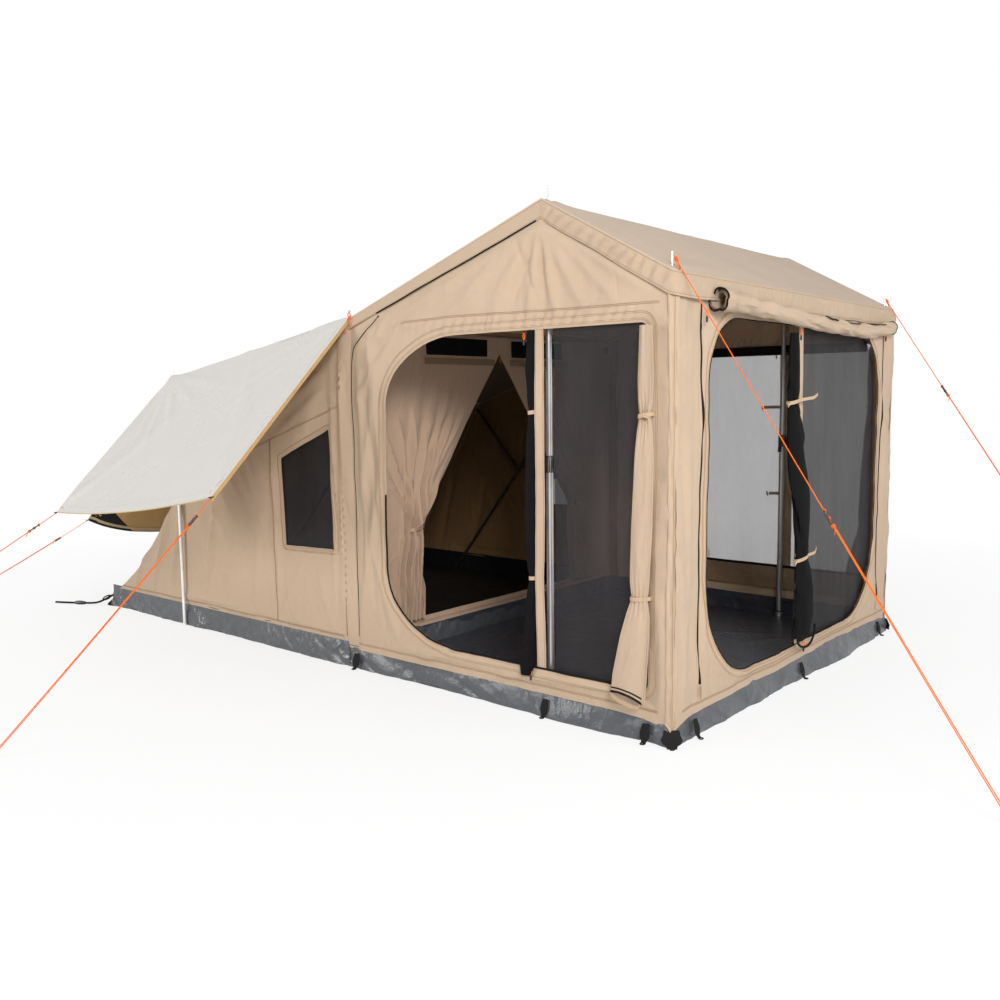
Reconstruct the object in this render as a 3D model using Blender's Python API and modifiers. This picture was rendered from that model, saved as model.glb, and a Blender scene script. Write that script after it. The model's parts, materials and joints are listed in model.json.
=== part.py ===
"""A canvas touring tent with a folding frame, a front room on four telescopic poles, and a fly sheet.

Metres, +Z up. +Y runs from the front door to the back, +X to the right of someone who looks that way.
The origin is the middle of the ground sheets' footprint, on the ground.
"""

import math

import bmesh
import bpy
import numpy as np
from mathutils import Matrix, Vector

# Main sizes of the tent
TENT_WIDTH = 2.38
TENT_LENGTH = 4.265
ROOM_LENGTH = 1.889
RIDGE_SETBACK = 0.612
RIDGE_HEIGHT = 2.15
EAVE_HEIGHT = 1.811
KNUCKLE_HEIGHT = 1.715
ROOF_END = 3.07
REAR_SAG = 0.155

# Cloth, net and the gaps between sewn pieces
CANVAS = 0.004
NET = 0.002
SEAM_GAP = 0.0005
TOUCH_GAP = 0.0003

# Ground sheets, with their upturned walls
MAIN_HEM = 0.14
ROOM_HEM = 0.11
REAR_HEM_SLOPE = 0.11

# Front room: where it joins the main tent, its valances and its doors
JOIN_SETBACK = 0.089
EAVE_VALANCE = 0.096
RIDGE_VALANCE = 0.078
JOIN_VALANCE = 0.055
SIDE_DOOR_START, SIDE_DOOR_END = 0.11, 1.56
SIDE_DOOR_BOTTOM, SIDE_DOOR_HEAD = 0.21, 0.085
SIDE_DOOR_ROUND = (0.46, 0.34)
FRONT_DOOR_HALF = 0.94
FRONT_DOOR_BOTTOM, FRONT_DOOR_HEAD = 0.18, 0.055
FRONT_DOOR_ROUND_TOP, FRONT_DOOR_ROUND_BOTTOM = (0.24, 0.32), (0.38, 0.44)
DOOR_CORNER = (0.03, 0.03)
MULLION_WIDTH = 0.046
MULLION_BEHIND_RIDGE = 0.016
FRONT_MULLION_X = -0.045
NET_LAP = 0.015

# Main tent: its doorway, curtains and side windows
DOORWAY_HALF = 0.72
DOORWAY_BOTTOM, DOORWAY_HEAD = 0.16, 0.115
DOORWAY_ROUND = (0.30, 0.30)
CURTAIN_TIE_HEIGHT = 0.664
CURTAIN_FOLDS = 5
WINDOW = ((1.953, 0.591), (2.365, 0.579), (2.372, 1.047), (1.971, 1.206))

# Folding frame
LEG_RADIUS, BRACE_RADIUS, BAR_RADIUS = 0.0125, 0.011, 0.011
LEG_INSET = 0.025
BRACE_INSET = 0.060
ROD_STEP = 0.026
PIVOT_BACK, PIVOT_DROP = 0.035, 0.045
HUB_BACK, HUB_HEIGHT = 0.745, 0.835
FOOT_BACK = 1.425
HOOP_BEND = 0.07
PLATE = 0.003

# Telescopic poles of the front room
POLE_INSET = 0.040
CORNER_POLE_LEAD = 0.005
RIDGE_TUBE_OUTER, RIDGE_TUBE_INNER = 0.016, 0.0135
CORNER_TUBE_OUTER, CORNER_TUBE_INNER = 0.014, 0.0115
RIDGE_SPLIT, CORNER_SPLIT = 1.10, 0.95
POLE_DROP = 0.50
POLE_FOOT = 0.030
POLE_FOOT_GROWTH = 0.006
COLLAR_HEIGHT, COLLAR_GROWTH = 0.06, 0.006
SPIGOT_RADIUS, SPIGOT_HEIGHT = 0.003, 0.055
GROMMET_RADIUS = 0.007
LEVER_LENGTH, LEVER_RADIUS, LEVER_WIDTH = 0.075, 0.005, 0.018

# Fly sheet and its poles
FLY_CORNER = (2.0, 0.943, 0.778)
FLY_FRONT, FLY_REAR = 1.797, 3.25
FLY_POLE = (1.22, 3.35, 1.494)
FLY_POLE_RADIUS = 0.009
FLY_POLE_CLEARANCE = 0.0133
FLY_LIFT = 0.0069
FLY_TAIL = (1.10, 4.733, 0.532)
FLY_TAIL_DIP = 0.15
FLY_EDGE_SAG = 0.03
FLY_WING_BELLY, FLY_TAIL_BELLY = 0.02, 0.04
FLY_POLE_FOOT = 0.015
FLY_POLE_FOOT_GROWTH = 0.004

# Guy ropes
ROPE_RADIUS = 0.002
ROPE_SAG = 0.004
ROPE_STRANDS = 0.008
PEG_HEIGHT = 0.016
TENSIONER_LENGTH, TENSIONER_RADIUS, TENSIONER_BORE = 0.050, 0.012, 0.0028

# Places that follow from the sizes
HALF = TENT_WIDTH / 2
FRONT = -TENT_LENGTH / 2
REAR = TENT_LENGTH / 2
RIDGE = FRONT + RIDGE_SETBACK
KNUCKLE = FRONT + ROOM_LENGTH
JOIN = KNUCKLE - JOIN_SETBACK
ROOF_BACK = FRONT + ROOF_END
FRONT_SLOPE = (RIDGE_HEIGHT - EAVE_HEIGHT) / RIDGE_SETBACK
BACK_SLOPE = (RIDGE_HEIGHT - KNUCKLE_HEIGHT) / (ROOM_LENGTH - RIDGE_SETBACK)
INSIDE = HALF - CANVAS - SEAM_GAP
ON_FLOOR = CANVAS + TOUCH_GAP
SIDE_DOOR_TOP = EAVE_HEIGHT - EAVE_VALANCE - SIDE_DOOR_HEAD
FRONT_DOOR_TOP = EAVE_HEIGHT - EAVE_VALANCE - FRONT_DOOR_HEAD
DOORWAY_TOP = KNUCKLE_HEIGHT - DOORWAY_HEAD


def roof_height(y):
    """Height of the roof's outer face over a point y."""
    if y < RIDGE:
        return RIDGE_HEIGHT - (RIDGE - y) * FRONT_SLOPE
    return RIDGE_HEIGHT - (y - RIDGE) * BACK_SLOPE


ROOF_BACK_HEIGHT = roof_height(ROOF_BACK)
ROOF_DEPTH = CANVAS * math.hypot(1, max(FRONT_SLOPE, BACK_SLOPE))


def clear_scene():
    for obj in list(bpy.data.objects):
        bpy.data.objects.remove(obj)


def new_collection(name):
    collection = bpy.data.collections.new(name)
    bpy.context.scene.collection.children.link(collection)
    return collection


def material(name, colour, roughness, metallic=0.0):
    made = bpy.data.materials.new(name)
    made.use_nodes = True
    shader = made.node_tree.nodes["Principled BSDF"]
    shader.inputs["Base Color"].default_value = (*colour, 1.0)
    shader.inputs["Roughness"].default_value = roughness
    shader.inputs["Metallic"].default_value = metallic
    return made


clear_scene()
PARTS = new_collection("tent")
CUTTERS = new_collection("cutters")
LOOKS = {
    "canvas": (0.52, 0.37, 0.24), "lining": (0.30, 0.22, 0.15), "net": (0.05, 0.05, 0.055),
    "ground_sheet": (0.16, 0.17, 0.18), "fly": (0.66, 0.67, 0.65), "dark_tube": (0.05, 0.05, 0.055),
    "silver_tube": (0.70, 0.71, 0.72), "plastic": (0.02, 0.02, 0.022), "rope": (0.85, 0.22, 0.04),
}
METALLIC = {"dark_tube": 0.7, "silver_tube": 0.95}
ROUGHNESS = {"dark_tube": 0.45, "silver_tube": 0.30, "plastic": 0.40, "rope": 0.70}


def finish(obj, look):
    """Give the object its own material, and shade its round faces smooth."""
    obj.data.materials.clear()
    obj.data.materials.append(
        material(obj.name, LOOKS[look], ROUGHNESS.get(look, 0.85), METALLIC.get(look, 0.0))
    )
    if obj.type == "MESH":
        obj.data.shade_smooth()
        obj.data.set_sharp_from_angle(angle=math.radians(35))
    return obj


def mesh_object(name, mesh, look, collection=None):
    obj = bpy.data.objects.new(name, mesh)
    (collection or PARTS).objects.link(obj)
    return finish(obj, look)


def from_bmesh(name, bm, look, collection=None):
    bmesh.ops.recalc_face_normals(bm, faces=bm.faces)
    mesh = bpy.data.meshes.new(name)
    bm.to_mesh(mesh)
    bm.free()
    return mesh_object(name, mesh, look, collection)


def as_mesh(obj, look):
    """The curve or modified object as a plain welded mesh under the same name."""
    name, place, parent = obj.name, obj.matrix_world.copy(), obj.parent
    bpy.context.view_layer.update()
    graph = bpy.context.evaluated_depsgraph_get()
    mesh = bpy.data.meshes.new_from_object(obj.evaluated_get(graph))
    bm = bmesh.new()
    bm.from_mesh(mesh)
    bmesh.ops.remove_doubles(bm, verts=bm.verts, dist=0.00001)
    bmesh.ops.recalc_face_normals(bm, faces=bm.faces)
    bm.to_mesh(mesh)
    bm.free()
    bpy.data.objects.remove(obj)
    made = mesh_object(name, mesh, look)
    made.matrix_world = place
    made.parent = parent
    return made


def join(obj, others):
    """Union of the object with helpers that overlap it."""
    for other in others:
        CUTTERS.objects.link(other)
        PARTS.objects.unlink(other)
        other.hide_render = True
        other.display_type = "WIRE"
        union = obj.modifiers.new(f"join {other.name}", "BOOLEAN")
        union.operation = "UNION"
        union.object = other
    return obj


def drill(obj, cutter):
    cut = obj.modifiers.new(f"cut {cutter.name}", "BOOLEAN")
    cut.operation = "DIFFERENCE"
    cut.object = cutter
    return obj


def place_on(plane, at):
    """Matrix that stands a flat outline up: its x and y become Y and Z, X and Z, or X and Y."""
    turn = {
        "side": Matrix(((0, 0, 1), (1, 0, 0), (0, 1, 0))),
        "front": Matrix(((1, 0, 0), (0, 0, -1), (0, 1, 0))),
        "level": Matrix.Identity(3),
    }[plane]
    normal = {"side": (1, 0, 0), "front": (0, 1, 0), "level": (0, 0, 1)}[plane]
    return Matrix.Translation(Vector(normal) * at) @ turn.to_4x4()


def flat_piece(name, outlines, plane, at, thickness, look, origin=(0, 0)):
    """A flat sheet or plate: the first outline, less the others, centred at the plane."""
    curve = bpy.data.curves.new(name, "CURVE")
    curve.dimensions = "2D"
    curve.fill_mode = "BOTH"
    curve.extrude = thickness / 2
    for outline in outlines:
        spline = curve.splines.new("POLY")
        spline.points.add(len(outline) - 1)
        for point, (across, up) in zip(spline.points, outline):
            point.co = (across, up, 0, 1)
        spline.use_cyclic_u = True
    obj = bpy.data.objects.new(name, curve)
    PARTS.objects.link(obj)
    obj.matrix_world = place_on(plane, at) @ Matrix.Translation((*origin, 0))
    return finish(obj, look)


def corner_arc(corner, radii, quarter, steps):
    """Points round an elliptical corner; quarter 0 is at the right and top, and they run anticlockwise."""
    side, end = ((1, 1), (-1, 1), (-1, -1), (1, -1))[quarter]
    centre = (corner[0] - side * radii[0], corner[1] - end * radii[1])
    angles = [math.pi / 2 * (quarter + step / steps) for step in range(steps + 1)]
    return [(centre[0] + radii[0] * math.cos(a), centre[1] + radii[1] * math.sin(a)) for a in angles]


def rounded(left, right, bottom, top, radii, steps=6):
    """A rounded rectangle; radii lists the corners' (width, height) from right top, anticlockwise."""
    corners = ((right, top), (left, top), (left, bottom), (right, bottom))
    points = []
    for quarter, (corner, size) in enumerate(zip(corners, radii)):
        points += corner_arc(corner, size, quarter, steps if max(size) > 0.1 else 2)
    return points


def clipped(outline, low, high):
    """The part of an outline between two values of its first coordinate."""
    for limit, keep in ((low, 1), (high, -1)):
        kept = []
        for a, b in zip(outline, outline[1:] + outline[:1]):
            inside_a, inside_b = keep * (a[0] - limit) >= 0, keep * (b[0] - limit) >= 0
            if inside_a:
                kept.append(a)
            if inside_a != inside_b:
                share = (limit - a[0]) / (b[0] - a[0])
                kept.append((limit, a[1] + share * (b[1] - a[1])))
        outline = kept
    return outline


def shell(name, points, faces, thickness, look):
    """Open sheet of the points, thickened on its inner side."""
    mesh = bpy.data.meshes.new(name)
    mesh.from_pydata([Vector(p) for p in points], [], faces)
    obj = mesh_object(name, mesh, look)
    solid = obj.modifiers.new("cloth", "SOLIDIFY")
    solid.thickness = thickness
    solid.offset = -1
    solid.use_even_offset = True
    return obj


def grid_shell(name, rows, thickness, look):
    """Sheet through rows of points; each row has as many points as the first."""
    wide = len(rows[0])
    faces = [
        (r * wide + c, r * wide + c + 1, (r + 1) * wide + c + 1, (r + 1) * wide + c)
        for r in range(len(rows) - 1) for c in range(wide - 1)
    ]
    return shell(name, [p for row in rows for p in row], faces, thickness, look)


def rod(name, points, radius, look, bevel=2, cyclic=False):
    """Round bar or rope along the points."""
    curve = bpy.data.curves.new(name, "CURVE")
    curve.dimensions = "3D"
    curve.bevel_depth = radius
    curve.bevel_resolution = bevel
    curve.use_fill_caps = True
    spline = curve.splines.new("POLY")
    spline.points.add(len(points) - 1)
    for point, co in zip(spline.points, points):
        point.co = (*co, 1)
    spline.use_cyclic_u = cyclic
    obj = bpy.data.objects.new(name, curve)
    PARTS.objects.link(obj)
    return finish(obj, look)


def turned(name, profile, look, sides=16):
    """Profile of (radius, height) turned about Z; it runs down the outer side first."""
    bm = bmesh.new()
    verts = [bm.verts.new((radius, 0, height)) for radius, height in profile]
    for a, b in zip(verts, verts[1:]):
        bm.edges.new((a, b))
    mesh = bpy.data.meshes.new(name)
    bm.to_mesh(mesh)
    bm.free()
    obj = mesh_object(name, mesh, look)
    screw = obj.modifiers.new("turn", "SCREW")
    screw.steps = screw.render_steps = sides
    screw.use_merge_vertices = True
    screw.merge_threshold = 0.00005
    return obj


def box(name, low, high, look):
    """Box between two corners, with its origin at its middle."""
    bm = bmesh.new()
    bmesh.ops.create_cube(bm, size=1)
    size = [b - a for a, b in zip(low, high)]
    bmesh.ops.scale(bm, vec=size, verts=bm.verts)
    obj = from_bmesh(name, bm, look)
    obj.location = [(a + b) / 2 for a, b in zip(low, high)]
    return obj


def cylinder(name, start, end, radius, look, sides=12, collection=None):
    start, end = Vector(start), Vector(end)
    axis = end - start
    bm = bmesh.new()
    bmesh.ops.create_cone(
        bm, cap_ends=True, segments=sides, radius1=radius, radius2=radius, depth=axis.length
    )
    obj = from_bmesh(name, bm, look, collection)
    obj.location = (start + end) / 2
    obj.rotation_euler = axis.to_track_quat("Z", "Y").to_euler()
    return obj


def lobed(name, stations, lobes, depth, twist, look, sides=None, phase=0.0):
    """Gathered cloth: closed tube through (centre, half_across, half_deep, across, deep) with folds."""
    sides = sides or lobes * 4
    bm = bmesh.new()
    rings = []
    for index, (centre, wide, thick, across, deep) in enumerate(stations):
        turn = phase + twist * index
        ring = []
        for k in range(sides):
            angle = 2 * math.pi * k / sides
            fold = 1 - depth * (0.5 + 0.5 * math.cos(lobes * angle + turn))
            offset = Vector(across) * wide * fold * math.cos(angle)
            offset += Vector(deep) * thick * fold * math.sin(angle)
            ring.append(bm.verts.new(Vector(centre) + offset))
        rings.append(ring)
    for a, b in zip(rings, rings[1:]):
        for k in range(sides):
            bm.faces.new((a[k], a[(k + 1) % sides], b[(k + 1) % sides], b[k]))
    bm.faces.new(rings[0])
    bm.faces.new(rings[-1])
    return from_bmesh(name, bm, look)


def pleated(name, rows, folds, thickness, along, look):
    """Hanging cloth in folds: rows of (height, start, end, place, depth) from the top down."""
    steps = folds * 4
    bm = bmesh.new()
    fronts, backs = [], []
    for height, start, end, place, depth in rows:
        front, back = [], []
        for k in range(steps + 1):
            share = k / steps
            across = start + (end - start) * share
            shift = place + depth * math.cos(2 * math.pi * folds * share)
            for line, side in ((front, -1), (back, 1)):
                deep = shift + side * thickness / 2
                co = (deep, across, height) if along == "Y" else (across, deep, height)
                line.append(bm.verts.new(co))
        fronts.append(front)
        backs.append(back)
    for upper, lower in ((fronts, 1), (backs, -1)):
        for a, b in zip(upper, upper[1:]):
            for k in range(steps):
                face = (a[k], a[k + 1], b[k + 1], b[k])
                bm.faces.new(face[::lower])
    for k in range(steps):
        bm.faces.new((fronts[0][k], backs[0][k], backs[0][k + 1], fronts[0][k + 1]))
        bm.faces.new((fronts[-1][k], fronts[-1][k + 1], backs[-1][k + 1], backs[-1][k]))
    for r in range(len(rows) - 1):
        for k in (0, steps):
            bm.faces.new((fronts[r][k], fronts[r + 1][k], backs[r + 1][k], backs[r][k]))
    return from_bmesh(name, bm, look)


# Sides of the tent: the sign of X, and the word in a piece's name
SIDES = ((-1, "left"), (1, "right"))

# The main tent's front wall stands just ahead of the legs
WALL_CLEARANCE = 0.002
MAIN_FRONT = KNUCKLE - LEG_RADIUS - WALL_CLEARANCE - CANVAS
REAR_STEPS = 8


def rear_profile():
    """Outer face of the sloping rear wall, from the roof's back edge down to the hem, as (y, z)."""
    top = (ROOF_BACK, ROOF_BACK_HEIGHT - ROOF_DEPTH - 3 * SEAM_GAP)
    hem = (REAR - REAR_HEM_SLOPE, MAIN_HEM + CANVAS + SEAM_GAP)
    points = []
    for step in range(REAR_STEPS + 1):
        share = step / REAR_STEPS
        sag = REAR_SAG * 4 * share * (1 - share)
        points.append((top[0] + (hem[0] - top[0]) * share, top[1] + (hem[1] - top[1]) * share - sag))
    return points


def inside_profile(profile, depth):
    """The profile moved inwards, down and forward, by a depth."""
    moved = []
    for index, (y, z) in enumerate(profile):
        before, after = profile[max(index - 1, 0)], profile[min(index + 1, len(profile) - 1)]
        run, fall = after[0] - before[0], before[1] - after[1]
        length = math.hypot(run, fall)
        moved.append((y - depth * fall / length, z - depth * run / length))
    return moved


def tub(name, front, back, hem, back_lean):
    """Ground sheet with upturned walls; the back wall leans in by back_lean at the hem."""
    low = [(-HALF, front, 0), (HALF, front, 0), (HALF, back, 0), (-HALF, back, 0)]
    high = [(x, y - (back_lean if y == back else 0), hem) for x, y, _ in low]
    faces = [(3, 2, 1, 0)] + [(k, (k + 1) % 4, 4 + (k + 1) % 4, 4 + k) for k in range(4)]
    return shell(name, low + high, faces, CANVAS, "ground_sheet")


def make_ground_sheets():
    tub("room_floor", FRONT, MAIN_FRONT - SEAM_GAP, ROOM_HEM, 0)
    tub("main_floor", MAIN_FRONT, REAR, MAIN_HEM, REAR_HEM_SLOPE)


def side_door(grow=0.0):
    round_in = tuple(size + grow for size in SIDE_DOOR_ROUND)
    return rounded(
        FRONT + SIDE_DOOR_START - grow, FRONT + SIDE_DOOR_END + grow, SIDE_DOOR_BOTTOM - grow,
        SIDE_DOOR_TOP + grow, (round_in, DOOR_CORNER, DOOR_CORNER, round_in),
    )


def front_door(grow=0.0):
    top = tuple(size + grow for size in FRONT_DOOR_ROUND_TOP)
    bottom = tuple(size + grow for size in FRONT_DOOR_ROUND_BOTTOM)
    reach = FRONT_DOOR_HALF + grow
    return rounded(
        -reach, reach, FRONT_DOOR_BOTTOM - grow, FRONT_DOOR_TOP + grow, (top, top, bottom, bottom)
    )


SIDE_MULLION = RIDGE + MULLION_BEHIND_RIDGE
FAR = 10.0


def split_door(outline, middle):
    """The opening's two halves, on each side of the strip of canvas at its middle."""
    return (
        clipped(outline, -FAR, middle - MULLION_WIDTH / 2),
        clipped(outline, middle + MULLION_WIDTH / 2, FAR),
    )


def side_panel_outline():
    start, end = FRONT + CANVAS + SEAM_GAP, JOIN - SEAM_GAP
    bottom = ROOM_HEM + SEAM_GAP
    start_top = EAVE_HEIGHT - EAVE_VALANCE
    end_top = roof_height(end) - JOIN_VALANCE
    drop = 2 * SEAM_GAP
    return [
        (start, bottom), (end, bottom), (end, end_top - drop),
        (RIDGE, RIDGE_HEIGHT - RIDGE_VALANCE - drop), (start, start_top - drop),
    ]


def make_front_room():
    """The gabled awning roof with its valances, the three walls, their nets and their tied cloth."""
    end = JOIN - SEAM_GAP
    points, across = [], 6
    for side in (-1, 1):
        x = side * HALF
        points += [
            (x, FRONT, EAVE_HEIGHT - EAVE_VALANCE), (x, FRONT, EAVE_HEIGHT),
            (x, RIDGE, RIDGE_HEIGHT), (x, end, roof_height(end)),
            (x, end, roof_height(end) - JOIN_VALANCE), (x, RIDGE, RIDGE_HEIGHT - RIDGE_VALANCE),
        ]
    faces = [(k, k + across, k + across + 1, k + 1) for k in range(3)]
    faces += [(0, 1, 2, 5), (2, 3, 4, 5), (6, 11, 8, 7), (8, 11, 10, 9)]
    roof = shell("awning_roof", points, faces, CANVAS, "canvas")
    for side, word in SIDES:
        for y, size in ((RIDGE, "ridge"), (CORNER_POLE_Y, "corner")):
            drill(roof, grommet(f"{size}_grommet_{word}", side * POLE_X, y, roof_height(y)))
        halves = split_door(side_door(), SIDE_MULLION)
        flat_piece(
            f"side_panel_{word}", [side_panel_outline(), *halves], "side",
            side * (HALF - CANVAS / 2), CANVAS, "canvas",
        )
    flat_piece(
        "front_panel",
        [
            [(-HALF, ROOM_HEM + SEAM_GAP), (HALF, ROOM_HEM + SEAM_GAP),
             (HALF, EAVE_HEIGHT - EAVE_VALANCE - SEAM_GAP), (-HALF, EAVE_HEIGHT - EAVE_VALANCE - SEAM_GAP)],
            *split_door(front_door(), FRONT_MULLION_X),
        ],
        "front", FRONT + CANVAS / 2, CANVAS, "canvas",
    )
    net_x = INSIDE - NET / 2
    front_net, whole_net = clipped(side_door(NET_LAP), -FAR, SIDE_MULLION), side_door(NET_LAP)
    flat_piece("door_mesh_left", [front_net], "side", -net_x, NET, "net")
    flat_piece("door_mesh_right", [whole_net], "side", net_x, NET, "net")
    flat_piece(
        "door_mesh_front", [clipped(front_door(NET_LAP), FRONT_MULLION_X, FAR)], "front",
        FRONT + CANVAS + SEAM_GAP + NET / 2, NET, "net",
    )


def grommet(name, x, y, height):
    """Cutter for a hole that a spigot passes."""
    hole = cylinder(
        name, (x, y, height - 0.05), (x, y, height + 0.05), GROMMET_RADIUS, "plastic", 12, CUTTERS
    )
    hole.hide_render = True
    hole.display_type = "WIRE"
    return hole


POLE_X = HALF - POLE_INSET
CORNER_POLE_Y = FRONT + POLE_INSET - CORNER_POLE_LEAD
FLAP_TIES = (1.28, 0.576)
FLAP_OFF = 0.0265
NET_ROLL_SETBACK = 0.028


def make_tied_cloth():
    """Door flaps and nets as they are tied back or rolled up."""
    for side, word in SIDES:
        place = side * (HALF + FLAP_OFF)
        rows = [
            (height, FRONT + start, FRONT + stop, place, deep)
            for height, start, stop, deep in (
                (1.600, 0.074, 0.156, 0.014), (1.420, 0.070, 0.162, 0.018),
                (FLAP_TIES[0], 0.086, 0.146, 0.020), (1.120, 0.070, 0.168, 0.020),
                (0.850, 0.072, 0.182, 0.021), (FLAP_TIES[1], 0.092, 0.172, 0.021),
                (0.420, 0.084, 0.215, 0.022), (0.260, 0.100, 0.250, 0.021), (0.172, 0.112, 0.256, 0.018),
            )
        ]
        pleated(f"door_flap_{word}", rows, 4, 0.008, "Y", "canvas")
    roll_y = SIDE_MULLION + MULLION_WIDTH / 2 + NET_ROLL_SETBACK
    across, deep = (0, 1, 0), (1, 0, 0)
    stations = [
        ((-HALF + 0.002, roll_y + shift, height), wide, wide * 0.85, across, deep)
        for height, wide, shift in (
            (SIDE_DOOR_TOP - SEAM_GAP, 0.020, 0.0), (1.46, 0.022, 0.001), (1.29, 0.017, -0.004),
            (1.10, 0.024, 0.004), (0.80, 0.025, 0.005), (0.59, 0.018, -0.002), (0.42, 0.026, 0.004),
            (SIDE_DOOR_BOTTOM + SEAM_GAP, 0.024, 0.002),
        )
    ]
    lobed("mesh_roll_left", stations, 4, 0.22, 0.5, "net")
    across, deep = (1, 0, 0), (0, 1, 0)
    stations = [
        ((centre, FRONT - TOUCH_GAP - thick, height), wide, thick, across, deep)
        for height, centre, wide, thick in (
            (1.612, -0.012, 0.028, 0.018), (1.40, -0.010, 0.034, 0.020), (1.27, -0.026, 0.024, 0.018),
            (1.05, 0.030, 0.040, 0.022), (0.80, 0.052, 0.052, 0.024), (0.55, 0.078, 0.062, 0.026),
            (0.35, 0.104, 0.068, 0.026), (0.20, 0.110, 0.062, 0.022),
        )
    ]
    lobed("mesh_roll_front", stations, 5, 0.20, 0.45, "net", phase=math.pi / 2 - 2 * 0.45)
    across, deep = (0, 1, 0), (0, 0, 1)
    stations = [
        ((x, FRONT - TOUCH_GAP - wide, height), wide, wide, across, deep)
        for x, height, wide in (
            (-0.935, 1.712, 0.034), (-0.80, 1.712, 0.040), (-0.58, 1.704, 0.037), (-0.34, 1.690, 0.041),
            (-0.08, 1.674, 0.036), (0.15, 1.664, 0.040), (0.38, 1.654, 0.037), (0.60, 1.656, 0.041),
            (0.82, 1.668, 0.037), (0.98, 1.688, 0.039), (1.065, 1.700, 0.034),
        )
    ]
    lobed("door_roll_front", stations, 3, 0.16, 0.6, "canvas", sides=14)


def make_main_tent():
    """Roof, rear slope, side walls with window nets, and the doorway wall with its tied curtains."""
    start = JOIN + 3 * SEAM_GAP
    points = [
        (-HALF, start, roof_height(start)), (HALF, start, roof_height(start)),
        (HALF, ROOF_BACK, ROOF_BACK_HEIGHT), (-HALF, ROOF_BACK, ROOF_BACK_HEIGHT),
    ]
    shell("main_roof", points, [(0, 1, 2, 3)], CANVAS, "canvas")
    profile = rear_profile()
    rows = [[(-HALF, y, z), (HALF, y, z)] for y, z in profile]
    grid_shell("main_rear_wall", rows, CANVAS, "canvas")
    under = ROOF_DEPTH + SEAM_GAP
    rear_edge = inside_profile(profile, CANVAS + 2 * SEAM_GAP)
    back_top = rear_edge[0][0] - CANVAS
    wall = [
        (JOIN, ROOM_HEM + SEAM_GAP), (MAIN_FRONT - SEAM_GAP, ROOM_HEM + SEAM_GAP),
        (MAIN_FRONT - SEAM_GAP, MAIN_HEM + SEAM_GAP), (rear_edge[-1][0], MAIN_HEM + SEAM_GAP),
        *rear_edge[-2:0:-1], (back_top, roof_height(back_top) - under), (JOIN, roof_height(JOIN) - under),
    ]
    window = [(FRONT + y, z) for y, z in WINDOW]
    for side, word in SIDES:
        flat_piece(f"main_wall_{word}", [wall, window], "side", side * (HALF - CANVAS / 2), CANVAS, "canvas")
        middle = Vector((sum(y for y, _ in window) / 4, sum(z for _, z in window) / 4))
        net = []
        for point in window:
            away = Vector(point) - middle
            net.append(tuple(middle + away * (1 + NET_LAP / away.length)))
        flat_piece(f"window_mesh_{word}", [net], "side", side * (INSIDE - NET / 2), NET, "net")
    top = roof_height(MAIN_FRONT + CANVAS) - under
    doorway = rounded(
        -DOORWAY_HALF, DOORWAY_HALF, DOORWAY_BOTTOM, DOORWAY_TOP,
        (DOORWAY_ROUND, DOORWAY_ROUND, DOOR_CORNER, DOOR_CORNER),
    )
    sheet = [(-INSIDE, MAIN_HEM + SEAM_GAP), (INSIDE, MAIN_HEM + SEAM_GAP), (INSIDE, top), (-INSIDE, top)]
    flat_piece("main_front_wall", [sheet, doorway], "front", MAIN_FRONT + CANVAS / 2, CANVAS, "lining")
    for side, word in SIDES:
        rows = [
            (height, side * outer, side * inner, MAIN_FRONT - TOUCH_GAP - 0.004 - deep, deep)
            for height, outer, inner, deep in (
                (1.690, 0.740, 0.030, 0.004), (1.430, 0.745, 0.150, 0.010), (1.200, 0.745, 0.265, 0.014),
                (1.020, 0.742, 0.365, 0.017), (0.840, 0.730, 0.495, 0.019), (0.720, 0.712, 0.585, 0.020),
                (CURTAIN_TIE_HEIGHT, 0.705, 0.605, 0.020), (0.560, 0.715, 0.595, 0.021),
                (0.380, 0.735, 0.600, 0.020), (0.165, 0.750, 0.610, 0.016),
            )
        ]
        pleated(f"inner_curtain_{word}", rows, CURTAIN_FOLDS, 0.007, "X", "lining")


PIVOT_X = HALF - BRACE_INSET
LOWER_X = PIVOT_X + ROD_STEP
HOOP_X = PIVOT_X - ROD_STEP
PIVOT = (KNUCKLE + PIVOT_BACK, KNUCKLE_HEIGHT - PIVOT_DROP)
HUB = (KNUCKLE + HUB_BACK, HUB_HEIGHT)
LEG_X = HALF - LEG_INSET
KNUCKLE_TOP, KNUCKLE_BOTTOM = KNUCKLE_HEIGHT - 0.030, KNUCKLE_HEIGHT - 0.080
DISC_HALF = BRACE_RADIUS + TOUCH_GAP / 2
EYE_RADIUS, PIVOT_EYE_RADIUS = 0.015, 0.011
EAR_X = BRACE_RADIUS + 2 * TOUCH_GAP + PLATE / 2
FOOT_LEAN = math.atan2(FOOT_BACK - HUB_BACK, HUB_HEIGHT)
FOOT = (KNUCKLE + FOOT_BACK, ON_FLOOR + BRACE_RADIUS * math.sin(FOOT_LEAN) + TOUCH_GAP)


def cross_disc(name, x, at, radius):
    """Round boss across a rod's end, with its axis along X."""
    return cylinder(name, (x - DISC_HALF, *at), (x + DISC_HALF, *at), radius, "plastic", 16)


def jointed_rod(name, x, start, end, start_radius, end_radius, look):
    """Straight tube between two points of the side plane, with a boss at each end that has a radius."""
    obj = cylinder(name, (x, *start), (x, *end), BRACE_RADIUS, look)
    bosses = [
        cross_disc(f"{name}_{word}", x, at, radius)
        for word, at, radius in (("start", start, start_radius), ("end", end, end_radius)) if radius
    ]
    return join(obj, bosses)


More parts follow.
